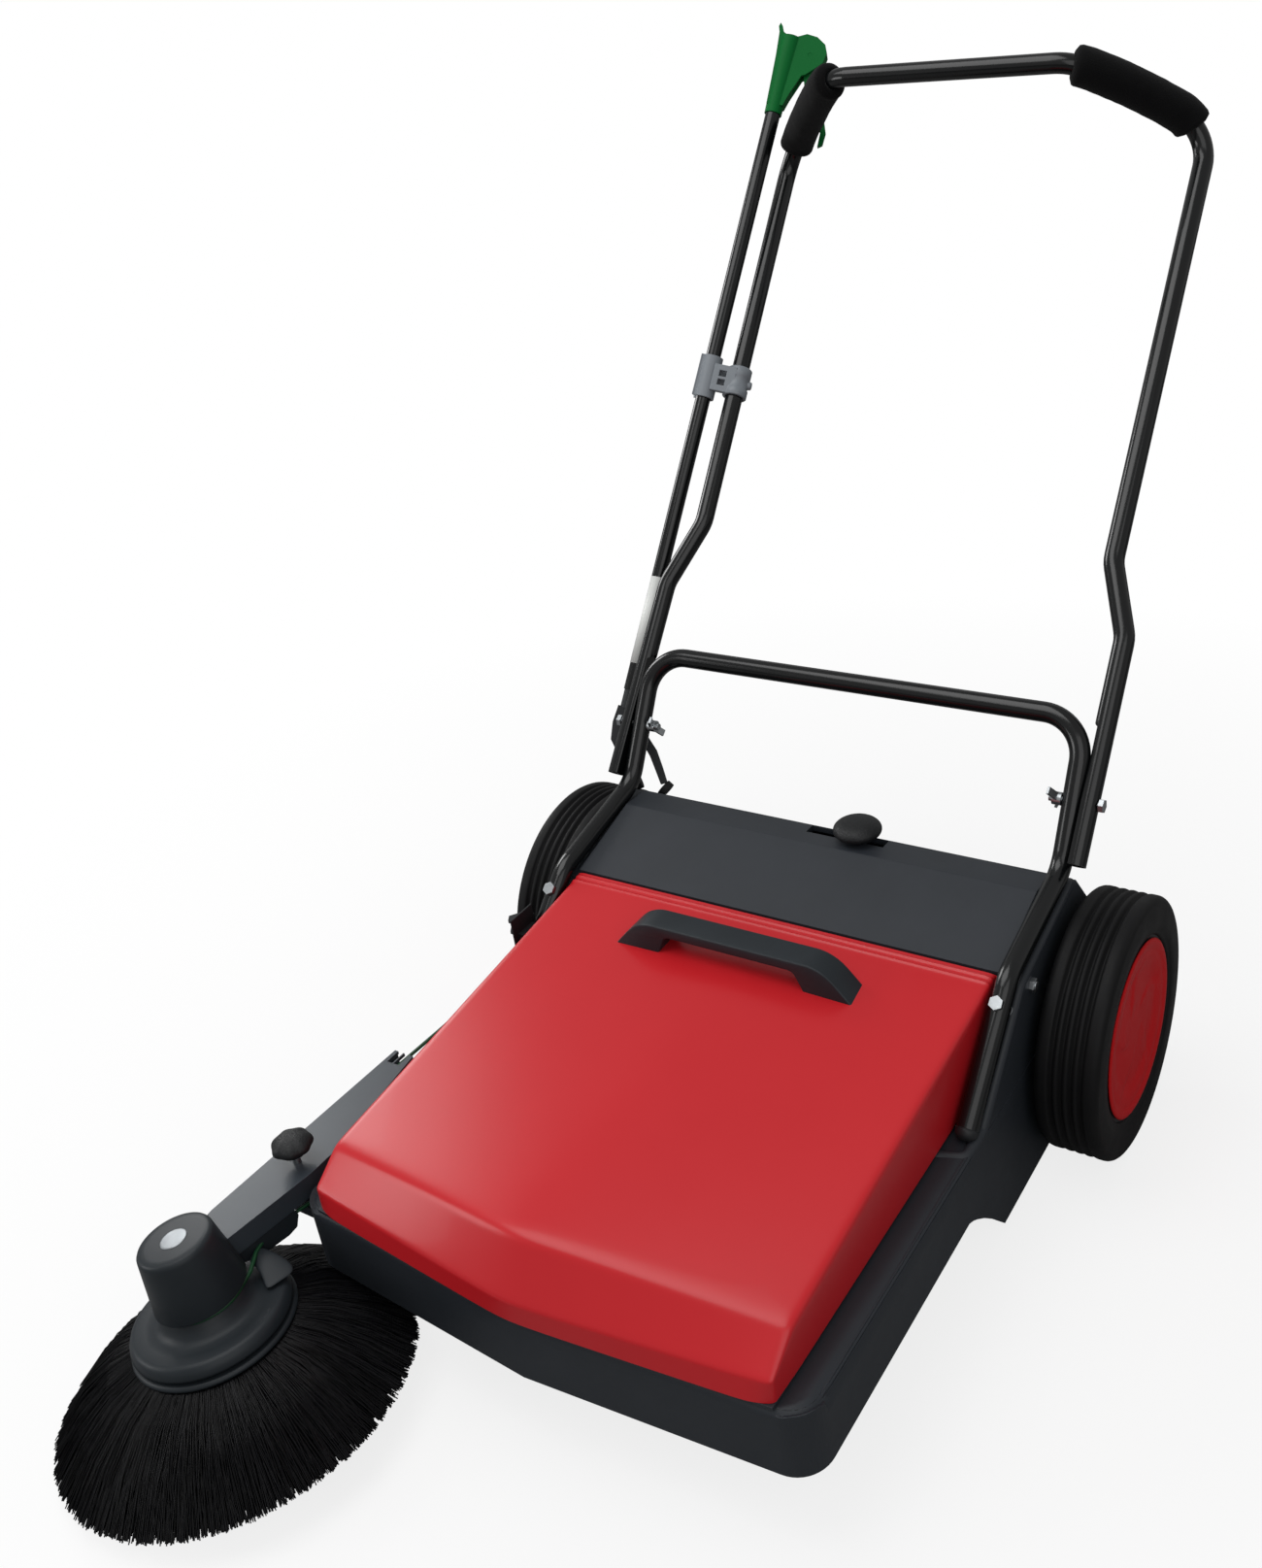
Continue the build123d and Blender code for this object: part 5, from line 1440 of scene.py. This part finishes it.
@dataclass
class Grip:
    """Foam sleeve along the slanted part of the handle, into both bends. Sizes in millimetres."""

    shop: Workshop
    side: Side
    radius: float = 21.3
    bore: float = 11.1
    end_round: float = 6.5
    bend: float = 44.0
    tail: int = 80
    step: float = 3.0
    around: int = 48
    bow: float = 4.0
    dent: float = 0.55
    end_dent: float = 0.15
    dents: Line = ((0.03, 1.0), (0.11, 0.5))

    KNEE = (258.5, 228.54, 564.0)
    TOPS = {Side.LEFT: (271.6, 561.57, 952.6), Side.RIGHT: (260.9, 561.57, 952.6)}
    BARS = {Side.LEFT: (146.6, 441.3, 1049.0), Side.RIGHT: (146.6, 441.3, 1045.1)}

    def corners(self) -> list[Vector]:
        """Corner points of the handle's line: leg, top of the leg, end of the crossbar."""
        out = self.side.value
        ends = (self.KNEE, self.TOPS[self.side], self.BARS[self.side])
        knee, top, bar = (Vector((out * x, y, z)) for x, y, z in ends)
        inward = Vector((-out * self.tail, 0, 0))
        return [top + (knee - top).normalized() * self.tail, top, bar, bar + inward]

    def rings(self, line: Sequence[Vector], sections: Sequence[tuple[int, float, float]]) -> list[Vector]:
        """Points of rings about the line.

        Args:
            line: Points along the sleeve.
            sections: Number of the line's point, radius and depth of the dents, ring by ring.

        Returns:
            Points in the row frame, ring after ring.
        """
        points: list[Vector] = []
        across = UP
        for i, radius, rough in sections:
            tangent = (line[min(i + 1, len(line) - 1)] - line[max(i - 1, 0)]).normalized()
            across = (across - tangent * across.dot(tangent)).normalized()
            other = tangent.cross(across)
            for k in range(self.around):
                a = math.tau * k / self.around
                out = across * math.cos(a) + other * math.sin(a)
                spot = line[i] + out * radius
                dent = sum(noise.noise(spot * pitch) * rough * share for pitch, share in self.dents)
                points.append(self.shop.datum.at(*(spot + out * dent)))
        return points

    def build(self) -> Obj:
        """Sweeps the sleeve with rounded ends and shallow dents."""
        start, top, bar, end = corners = self.corners()
        line = spaced(rounded_route(corners, self.bend, 1.0)[self.tail : 1 - self.tail], self.step)
        last = len(line) - 1
        outward = (top + bar - start - end).normalized() * self.bow
        line = [p + outward * math.sin(math.pi * i / last) for i, p in enumerate(line)]
        length = last * (line[1] - line[0]).length
        face = self.radius - self.end_round
        sections = [(0, self.bore, 0.0), (0, face, 0.0)]
        for i in range(1, last):
            run = min(i, last - i) / last * length
            if run < self.end_round:
                gone = 1 - run / self.end_round
                sections.append((i, face + self.end_round * math.sqrt(1 - gone * gone), self.end_dent))
            else:
                sections.append((i, self.radius, self.dent))
        sections += [(last, face, 0.0), (last, self.bore, 0.0)]
        inside = [(i, self.bore, 0.0) for i in range(1, last)]
        bore = self.rings(line, inside)
        points = self.rings(line, sections)
        for k in range(len(bore) - self.around, -1, -self.around):
            points += bore[k : k + self.around]
        faces = net(len(sections) + len(inside), self.around, ring=True, loop=True)
        obj = settle(solid(self.side.label + "_foam", points, faces))
        self.shop.keep(obj, "handle", "foam", self.side.label + "_grip", finish=FOAM)
        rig.padded(obj, fill=0.9)
        return obj


@dataclass
class SideBrush:
    """Round side brush: cap, flange, strands, the belt's front loop and its guard. Sizes in millimetres.

    Points of the brush's own frame are right, back and up from the lower edge of the CAD cap, on the tilted
    spindle. The arm's skirt is drawn along and up the machine.
    """

    shop: Workshop
    centre: Point = (-295.3, -698.0, 21.06)
    tilt: float = 6.5
    zero_height: float = 103.0
    root_height: float = 70.8
    cap_low: float = 12.0
    cap_high: Point = (-2.5, -3.0, 76.5)
    cap_line: Line = (
        (0.0, 64.5), (27.0, 64.5), (33.0, 64.2), (35.2, 63.2), (36.5, 61.2), (37.0, 58.5), (44.9, 1.6),
        (44.4, 0.4), (43.2, 0.0), (41.4, 0.4), (33.6, 58.0), (0.0, 58.0),
    )
    disc_line: Line = (
        (0.0, -0.6), (12.6, -0.6), (13.0, -0.2), (13.0, 0.3), (12.5, 0.7), (11.5, 0.75), (0.0, 0.75),
    )
    flange_line: Line = (
        (6.7, 13.5), (37.6, 13.5), (38.1, 13.0), (38.1, 8.0), (39.6, 6.8), (41.8, 2.8), (44.9, -2.4),
        (48.5, -5.7), (53.0, -7.5), (60.0, -8.3), (69.3, -9.0), (72.4, -9.8), (74.8, -11.8), (76.6, -15.4),
        (77.8, -20.0), (77.6, -22.0), (75.5, -23.0), (58.0, -23.0), (40.0, -20.0), (6.7, -20.0), (6.7, 13.5),
    )
    ring_line: Line = (
        (46.0, -27.0), (75.4, -26.8), (78.4, -27.6), (79.7, -29.6), (79.4, -31.6), (77.4, -33.0),
        (46.0, -33.0), (46.0, -27.0),
    )
    belt_radius: float = 2.0
    belt_height: float = 10.0
    belt_round: float = 39.5
    belt_cut: float = 138.0
    belt_turn: tuple[int, int, int] = (20, -205, -5)
    right_strand: Line = ((16.7, 138.0), (7.0, 104.0), (6.0, 76.0), (13.0, 58.0), (28.0, 37.0))
    left_strand: Line = ((-31.0, 38.0), (-29.0, 70.0), (-30.0, 104.0), (-33.0, 138.0))
    guard_rear: tuple[Point, ...] = (
        (9.0, 66.0, 9.5), (22.0, 67.0, 8.5), (40.0, 70.0, 1.0), (57.0, 66.0, -6.0),
    )
    guard_front: tuple[Point, ...] = (
        (9.0, 48.0, 6.0), (24.0, 47.0, 4.0), (38.0, 40.0, -1.0), (47.0, 33.0, -5.6),
    )
    guard_rows: Line = ((0.0, 0.0), (0.5, 1.4), (1.0, 0.0))
    guard_wall: float = 2.0
    skirt_line: Line = (
        (-665.0, 147.0), (-588.0, 147.0), (-584.0, 134.0), (-589.0, 122.0), (-600.0, 119.5), (-622.0, 121.0),
        (-643.0, 125.5), (-656.0, 132.0),
    )
    skirt_start: Pair = (-303.0, -672.0)
    skirt_slope: float = 13.0 / 112.0
    skirt_depths: Pair = (0.3, 3.6)

    # Name, count, seed, radii of the roots and of the tips, and replaced nodes.
    LAYERS = (
        ("side_strands", 10900, 11, (60.0, 75.0), (158.0, 179.0), ("side_bristles",)),
        ("side_strands_inner", 7000, 23, (48.0, 62.0), (96.0, 148.0), ()),
    )

    def axis(self) -> Vector:
        """Direction of the spindle, leaning outwards."""
        a = math.radians(self.tilt)
        return Vector((-math.sin(a), 0, math.cos(a)))

    def spot(self, x: float, y: float, h: float) -> Vector:
        """Point in the row frame from the brush's own frame."""
        a = math.radians(self.tilt)
        across = Vector((math.cos(a), 0, math.sin(a)))
        away = across * x + Vector((0, y, 0)) + self.axis() * (self.zero_height + h)
        return self.shop.datum.at(*self.centre) + away * MM

    def strands(self) -> None:
        """Fills the space of the CAD bristles with two layers of strands."""
        brush = DiscStrands()
        for name, count, seed, root, tip, nodes in self.LAYERS:
            strands = brush.make(
                name,
                bpy.data.meshes.new(name + "_base"),
                BRISTLE,
                Strands=count,
                Tufts=72,
                Root_splay=0.46,
                Tip_splay=0.85,
                Thickness=0.66 * MM,
                Seed=seed,
                Root_inner=root[0] * MM,
                Root_outer=root[1] * MM,
                Tip_inner=tip[0] * MM,
                Tip_outer=tip[1] * MM,
                Root_height=self.root_height * MM,
                Tip_height=1.5 * MM,
                Bow=0.042,
                Floor=1.4 * MM,
                Turn=Euler((0, -math.radians(self.tilt), 0)),
                Place=self.shop.datum.at(*self.centre),
            )
            self.shop.keep(strands, "side_brush", "bristle", *nodes)

    def belt(self) -> None:
        """Cuts the CAD belt inside the arm and leads its front loop round the collar, close under the cap."""
        shape = self.shop.merged("round_belt")
        cut(shape, self.spot(0, self.belt_cut, 0), Vector((0, 1, 0)), clear=True)
        bmesh.ops.holes_fill(shape, edges=[e for e in shape.edges if e.is_boundary])
        r = self.belt_round
        turn = [math.radians(a) for a in range(*self.belt_turn)]
        line = [*self.right_strand, *((r * math.cos(a), r * math.sin(a)) for a in turn), *self.left_strand]
        route = [self.spot(x, y, self.belt_height) for x, y in line]
        loop = self.shop.rods.follow("belt_front_loop", route, self.belt_radius, BELT)
        shape.from_mesh(loop.data)
        bpy.data.objects.remove(loop)
        run = piece_of("belt_run", shape)
        dress(run, BELT)
        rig.slot(run, "green_belt")
        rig.replaces(run, "round_belt")
        at = self.shop.datum.at
        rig.blend(run, "chassis", "side_arm", at(-300.0, -388.0, 150.0), at(-300.0, -420.0, 150.0))

    def guard(self) -> None:
        """Bends the sheet that leads from the arm down over the belt."""
        points = []
        for share, bulge in self.guard_rows:
            for rear, front in zip(self.guard_rear, self.guard_front):
                points.append(self.spot(*(Vector(rear).lerp(Vector(front), share) + UP * bulge)))
        faces = net(len(self.guard_rows), len(self.guard_rear))
        obj = piece("belt_guard", mesh_of("belt_guard", points, faces))
        modify(obj, "SOLIDIFY", thickness=self.guard_wall * MM, offset=0.0)
        modify(obj, "SUBSURF", levels=3, render_levels=3)
        settle(obj)
        face_out(obj.data)
        self.shop.keep(obj, "side_arm", "blue_grey_plastic", finish=SLATE)

    def skirt(self) -> None:
        """Hangs the deeper inner wall under the arm, beside the hood."""
        x0, y0 = self.skirt_start
        faces = []
        for deep in self.skirt_depths:
            outline = [(x0 + self.skirt_slope * (y - y0) - deep, y, z) for y, z in self.skirt_line]
            faces.append([self.shop.datum.at(*p) for p in outline])
        obj = solid("arm_skirt", *prism(*faces))
        modify(obj, "BEVEL", width=1.0 * MM, segments=3, limit_method="ANGLE")
        settle(obj, smooth=False)
        self.shop.keep(obj, "side_arm", "blue_grey_plastic", finish=SLATE)

    def build(self) -> None:
        """Builds the cap, the flange and all that hangs on them."""
        self.strands()
        self.belt()
        self.guard()
        self.skirt()
        turn, keep, zero = self.shop.turner.turn, self.shop.keep, self.spot(0, 0, 0)
        flange = turn("brush_flange", self.flange_line, SLATE, zero, self.axis())
        keep(flange, "side_brush", "blue_grey_plastic", "side_flange", "side_pulley")
        ring = turn("side_strand_ring", self.ring_line, SLATE, zero, self.axis())
        keep(ring, "side_brush", "blue_grey_plastic")
        base = self.spot(0, 0, self.cap_low)
        up = (self.spot(*self.cap_high) - base).normalized()
        keep(turn("brush_cap", self.cap_line, SLATE, base, up), "side_arm", "blue_grey_plastic", "side_cap")
        crown = base + up * self.cap_line[0][1] * MM
        keep(turn("cap_disc", self.disc_line, FOIL, crown, up, segments=64), "side_arm", "steel")


@dataclass
class Knob:
    """Egg-shaped knob on a narrow foot, with shallow lobes if it has them.

    Sizes are shares of the CAD solid's radius and height. Fullness is the roundness below and above the
    middle.
    """

    shop: Workshop
    node: str
    body: str
    lobes: int = 0
    lobe_depth: float = 0.0
    waist: float = 0.24
    middle: float = 0.5
    low_turn: float = -1.15
    rim: float = 0.985
    foot: Line = ((0.5, 0.0), (0.52, 0.04))
    fullness: Pair = (0.62, 0.8)
    steps: int = 18

    def build(self) -> Obj:
        """Turns the knob in the space of its CAD solid."""
        low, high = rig.box(self.node)
        r = (high.x - low.x) / 2 / MM
        h = (high.z - low.z) / MM
        full = r * self.rim / (1 + self.lobe_depth)
        line = [(0.0, 0.0), *((r * out, h * up) for out, up in self.foot)]
        for i in range(self.steps):
            a = self.low_turn + (math.pi / 2 - self.low_turn) * i / self.steps
            span, power = 1 - self.middle, self.fullness[1]
            if a < 0:
                span, power = self.middle - self.waist, self.fullness[0]
            line.append((full * math.cos(a) ** power, h * (self.middle + span * math.sin(a))))
        line.append((0.0, h))
        x, y, _ = (low + high) / 2
        lobes = {"lobes": self.lobes, "lobe_depth": self.lobe_depth}
        obj = self.shop.turner.turn(self.node + "_crown", line, KNOB, Vector((x, y, low.z)), UP, **lobes)
        return self.shop.keep(obj, self.body, "dark_plastic", self.node)


@dataclass
class RollerBrush:
    """Roller brush with chevron rows of strands."""

    shop: Workshop

    def build(self) -> Obj:
        """Fills the space of the CAD bristles with strands."""
        low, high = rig.box("roller_bristles")
        strands = RollerStrands().make(
            "roller_strands",
            bpy.data.meshes.new("roller_strands_base"),
            BRISTLE,
            Strands=5200,
            Tufts=34,
            Rows=10,
            Root_splay=0.35,
            Tip_splay=0.6,
            Thickness=0.6 * MM,
            Seed=5,
            Half_length=(high.x - low.x) / 2 - 1.2 * MM,
            Lead=0.5,
            Core_radius=37.0 * MM,
            Brush_radius=(high.z - low.z) / 2 - 0.8 * MM,
            Place=(low + high) / 2,
        )
        return self.shop.keep(strands, "roller", "bristle", "roller_bristles")


@dataclass
class Picker:
    """Litter picker's plain sleeve near the lower end of its tube. Sizes in millimetres."""

    shop: Workshop
    low: Point = (-318.0, 124.0, 401.0)
    high: Point = (-280.0, 536.0, 1006.0)
    start: float = 8.0
    length: float = 112.0
    radius: float = 9.85
    wall: float = 0.3

    def build(self) -> Obj:
        """Turns the sleeve about the tube."""
        a, b = self.shop.datum.at(*self.low), self.shop.datum.at(*self.high)
        axis = (b - a).normalized()
        outer, inner, n = self.radius, self.radius - self.wall, self.length
        line = [(inner, 0.0), (outer, 0.0), (outer, n), (inner, n), (inner, 0.0)]
        place = a + axis * self.start * MM
        obj = self.shop.turner.turn("picker_sleeve", line, VINYL, place, axis, segments=40)
        return self.shop.keep(obj, "picker", "grey_clip")


@dataclass
class ToolClip:
    """Double clip: an open channel for the picker, a ring on the handle's leg, a slotted bridge and a boss.

    Sizes in millimetres. Bars are left, right, low and high on the bridge.
    """

    shop: Workshop
    picker: Point = (-298.2, 338.5, 716.1)
    leg: Point = (-263.3, 350.2, 706.0)
    picker_way: Point = (0.0518, 0.5621, 0.8254)
    leg_way: Point = (-0.0256, 0.6504, 0.7592)
    height: float = 54.0
    bore: float = 10.1
    wall: float = 13.4
    lip: float = 17.0
    lip_wall: float = 2.6
    mouth: int = 34
    turn_step: int = 8
    lip_turns: tuple[int, int] = (3, 8)
    bars: tuple[tuple[float, float, float, float], ...] = (
        (7.0, 15.0, -17.0, 17.0), (24.0, 36.0, -17.0, 17.0), (14.0, 25.0, 9.5, 17.0), (14.0, 25.0, -1.6, 2.0),
        (14.0, 25.0, -17.0, -9.0),
    )
    bar_near: Pair = (7.5, 14.0)
    back: tuple[float, float, float, float] = (8.0, 30.0, -15.0, 15.0)
    back_near: Pair = (-4.5, -0.5)
    ring_line: Line = (
        (11.1, -19.0), (14.7, -19.0), (15.4, -18.2), (15.4, -9.0), (14.4, -8.0), (14.4, 6.0), (15.4, 7.0),
        (15.4, 18.2), (14.7, 19.0), (11.1, 19.0), (11.1, -19.0),
    )
    boss_line: Line = ((0.0, -3.0), (5.4, -3.0), (5.2, 4.0), (4.4, 5.4), (0.0, 6.0))
    boss_out: float = 13.0

    def channel(self) -> list[Pair]:
        """Section of the open channel with its lips, as radius and angle in degrees."""
        angles = range(self.mouth - 180, 181 - self.mouth, self.turn_step)
        first, last, thin = angles[0], angles[-1], self.lip - self.lip_wall
        near, far = self.lip_turns
        line = [(self.lip, first - near), *((self.wall, a) for a in angles), (self.lip, last + near)]
        return [*line, (thin, last + far), *((self.bore, a) for a in reversed(angles)), (thin, first - far)]

    def build(self) -> Obj:
        """Joins all parts of the moulding into one piece."""
        along = Vector(self.picker_way).normalized()
        to_leg = Vector(self.leg) - Vector(self.picker)
        across = (to_leg - along * to_leg.dot(along)).normalized()
        near = across.cross(along)
        seat, post = (self.shop.datum.at(*p) for p in (self.picker, self.leg))
        blocks = []
        for level in (-self.height / 2, self.height / 2):
            turns = [(r, math.radians(a)) for r, a in self.channel()]
            ring = [across * (math.cos(a) * r) + near * (math.sin(a) * r) for r, a in turns]
            blocks.append([seat + (p + along * level) * MM for p in ring])
        middle = seat + along * to_leg.dot(along) * 0.5 * MM
        for box, depths in [*((bar, self.bar_near) for bar in self.bars), (self.back, self.back_near)]:
            left, right, low, high = box
            corners = ((left, low), (right, low), (right, high), (left, high))
            for deep in depths:
                blocks.append([middle + (across * x + along * z + near * deep) * MM for x, z in corners])
        points: list[Vector] = []
        faces: list[tuple[int, ...]] = []
        for low, high in zip(blocks[::2], blocks[1::2]):
            more, sides = prism(low, high)
            faces += [tuple(k + len(points) for k in side) for side in sides]
            points += more
        obj = solid("clip_body", points, faces)
        modify(
            obj, "BEVEL", width=0.8 * MM, segments=2, limit_method="ANGLE", angle_limit=math.radians(40)
        )
        settle(obj, smooth=False)
        leg_way, rim = Vector(self.leg_way).normalized(), post + across * self.boss_out * MM
        ring = self.shop.turner.turn("clip_ring", self.ring_line, GREY, post, leg_way, segments=64)
        boss = self.shop.turner.turn("clip_boss", self.boss_line, GREY, rim, across, segments=32)
        whole = bmesh.new()
        for part in (obj, ring, boss):
            whole.from_mesh(part.data)
        whole.to_mesh(obj.data)
        whole.free()
        for part in (ring, boss):
            bpy.data.objects.remove(part)
        return self.shop.keep(obj, "handle", "grey_clip", "tool_clip", finish=GREY)


@dataclass
class Studio:
    """Pale floor, soft light and the camera of the photograph. Angles in radians, focal length in pixels."""

    shop: Workshop
    eye: Point = (755.74, -1276.90, 1203.77)
    yaw: float = 0.6205
    pitch: float = 0.4474
    roll: float = -0.1377
    focal: float = 1583.58
    centre: Pair = (707.48, 715.38)
    sensor: float = 36.0
    floor_size: float = 12.0
    aim: Point = (0.0, -150.0, 350.0)
    lamps: tuple[tuple[str, Point, float, float], ...] = (
        ("overhead", (-700.0, -700.0, 3100.0), 2.2, 42.0),
        ("left_window", (-2280.0, 420.0, 1320.0), 0.8, 13.0),
        ("front_window", (-1980.0, -1700.0, 1030.0), 0.9, 10.0),
        ("right_fill", (1700.0, -1900.0, 1900.0), 2.4, 20.0),
    )
    fade: Pair = (0.6, 1.5)
    paper_glow: float = 0.8
    ambient: float = 0.32
    mirrored: float = 0.16

    def camera(self) -> None:
        """Sets the camera at the photograph's viewing angle."""
        data = bpy.data.cameras.new("camera")
        data.sensor_fit = "VERTICAL"
        data.sensor_height = self.sensor
        data.lens = self.focal / PHOTO_HEIGHT * self.sensor
        data.shift_x = (PHOTO_WIDTH / 2 - self.centre[0]) / PHOTO_HEIGHT
        data.shift_y = (self.centre[1] - PHOTO_HEIGHT / 2) / PHOTO_HEIGHT
        data.clip_end = 60.0
        right = Vector((math.cos(self.yaw), math.sin(self.yaw), 0))
        level = Vector((-math.sin(self.yaw), math.cos(self.yaw), 0))
        ahead = level * math.cos(self.pitch) - UP * math.sin(self.pitch)
        up = right.cross(ahead)
        across = right * math.cos(self.roll) + up * math.sin(self.roll)
        upward = up * math.cos(self.roll) - right * math.sin(self.roll)
        turn = Matrix((across, upward, -ahead)).transposed().to_4x4()
        camera = bpy.data.objects.new("camera", data)
        bpy.context.scene.collection.objects.link(camera)
        camera.matrix_world = Matrix.Translation(self.shop.datum.at(*self.eye)) @ turn
        bpy.context.scene.camera = camera

    def lamp(self, name: str, spot: Point, size: float, power: float) -> None:
        """Adds a square soft box that points at the machine.

        Args:
            name: Name of the lamp.
            spot: Its place, in millimetres on the machine.
            size: Side of the box in metres.
            power: Watts.
        """
        data = bpy.data.lights.new(name, "AREA")
        data.size = size
        data.energy = power
        lamp = bpy.data.objects.new(name, data)
        bpy.context.scene.collection.objects.link(lamp)
        lamp.location = place = self.shop.datum.at(*spot)
        lamp.rotation_euler = (self.shop.datum.at(*self.aim) - place).to_track_quat("-Z", "Y").to_euler()

    def floor(self) -> None:
        """Lays the pale floor, which keeps a soft shadow."""
        size = self.floor_size
        corners = [Vector((x * size, y * size, 0.0)) for x, y in ((-1, -1), (1, -1), (1, 1), (-1, 1))]
        floor = piece("floor", mesh_of("floor", corners, [(0, 1, 2, 3)]))
        made = bpy.data.materials.new("studio_floor")
        made.use_nodes = True
        tree = made.node_tree
        tree.nodes.clear()
        paper = add(tree, "ShaderNodeBsdfDiffuse", {"Color": linear("#F2F2F2")})
        bounce = add(tree, "ShaderNodeBsdfDiffuse", {"Color": linear("#8C8C8C")})
        glow = add(tree, "ShaderNodeEmission", {"Color": linear("#FFFFFF"), "Strength": 1.0})
        seen = add(tree, "ShaderNodeLightPath", out="Is Camera Ray")
        place = add(tree, "ShaderNodeTexCoord", out="Object")
        away = add(tree, "ShaderNodeVectorMath", {0: place}, out="Value", operation="LENGTH")
        near, far = self.fade
        limits = {"Value": away, "From Min": near, "From Max": far, "To Min": self.paper_glow, "To Max": 1.0}
        pale = add(tree, "ShaderNodeMapRange", limits)
        lit = add(tree, "ShaderNodeMixShader", {0: pale, 1: paper, 2: glow})
        both = add(tree, "ShaderNodeMixShader", {0: seen, 1: bounce, 2: lit})
        add(tree, "ShaderNodeOutputMaterial", {"Surface": both})
        floor.data.materials.append(made)
        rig.stage(floor)

    def world(self) -> None:
        """White to the camera, paler grey to mirrors, a soft grey light to everything else."""
        made = bpy.data.worlds.new("studio")
        bpy.context.scene.world = made
        made.use_nodes = True
        tree = made.node_tree
        tree.nodes.clear()
        path = add(tree, "ShaderNodeLightPath").node.outputs
        rays = {0: path["Is Camera Ray"], 1: path["Is Transmission Ray"]}
        seen = add(tree, "ShaderNodeMath", rays, operation="MAXIMUM")
        mirror = {0: path["Is Glossy Ray"], 1: self.mirrored}
        gloss = add(tree, "ShaderNodeMath", mirror, operation="MULTIPLY")
        bright = add(tree, "ShaderNodeMath", {0: seen, 1: gloss}, operation="MAXIMUM")
        strength = add(tree, "ShaderNodeMapRange", {"Value": bright, "To Min": self.ambient, "To Max": 1.0})
        light = add(tree, "ShaderNodeBackground", {"Color": linear("#FFFFFF"), "Strength": strength})
        add(tree, "ShaderNodeOutputWorld", {"Surface": light})

    def build(self) -> None:
        """Sets up camera, floor, world and lamps."""
        self.camera()
        self.floor()
        self.world()
        for name, spot, size, power in self.lamps:
            self.lamp(name, spot, size, power)
        bpy.context.scene.view_settings.view_transform = "Standard"


def main() -> None:
    """Loads the frame, builds and dresses every sub-assembly, and writes the boxes."""
    logging.basicConfig(level=logging.INFO, format="%(name)s: %(message)s")
    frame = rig.load()
    cad_box = [list(corner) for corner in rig.bounds()]
    shop = Workshop(frame, Datum.from_axle(), TurnedShape(), RodShape())
    for finish, nodes in CAD_FINISHES.items():
        for name in nodes:
            dress(shop.node(name), finish)
    Chassis(shop).build()
    RearHousing(shop).build()
    DustLips(shop).build()
    Hood(shop).build()
    GrabHandle(shop).build()
    for side in Side:
        Wheel(shop, side).build()
        HubCover(shop, side).build()
        Grip(shop, side).build()
    SideBrush(shop).build()
    RollerBrush(shop).build()
    Knob(shop, "adjuster_knob", "adjuster_knob", waist=0.06).build()
    Knob(shop, "side_knob", "side_knob", lobes=7, lobe_depth=0.035, waist=0.2).build()
    Picker(shop).build()
    ToolClip(shop).build()
    Studio(shop).build()
    boxes = {"cad": cad_box, "visual": [list(corner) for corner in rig.bounds()]}
    with open(SIZE_FILE, "w") as target:
        json.dump(boxes, target)
    LOG.info("boxes %s", boxes)


if __name__ == "__main__":
    main()
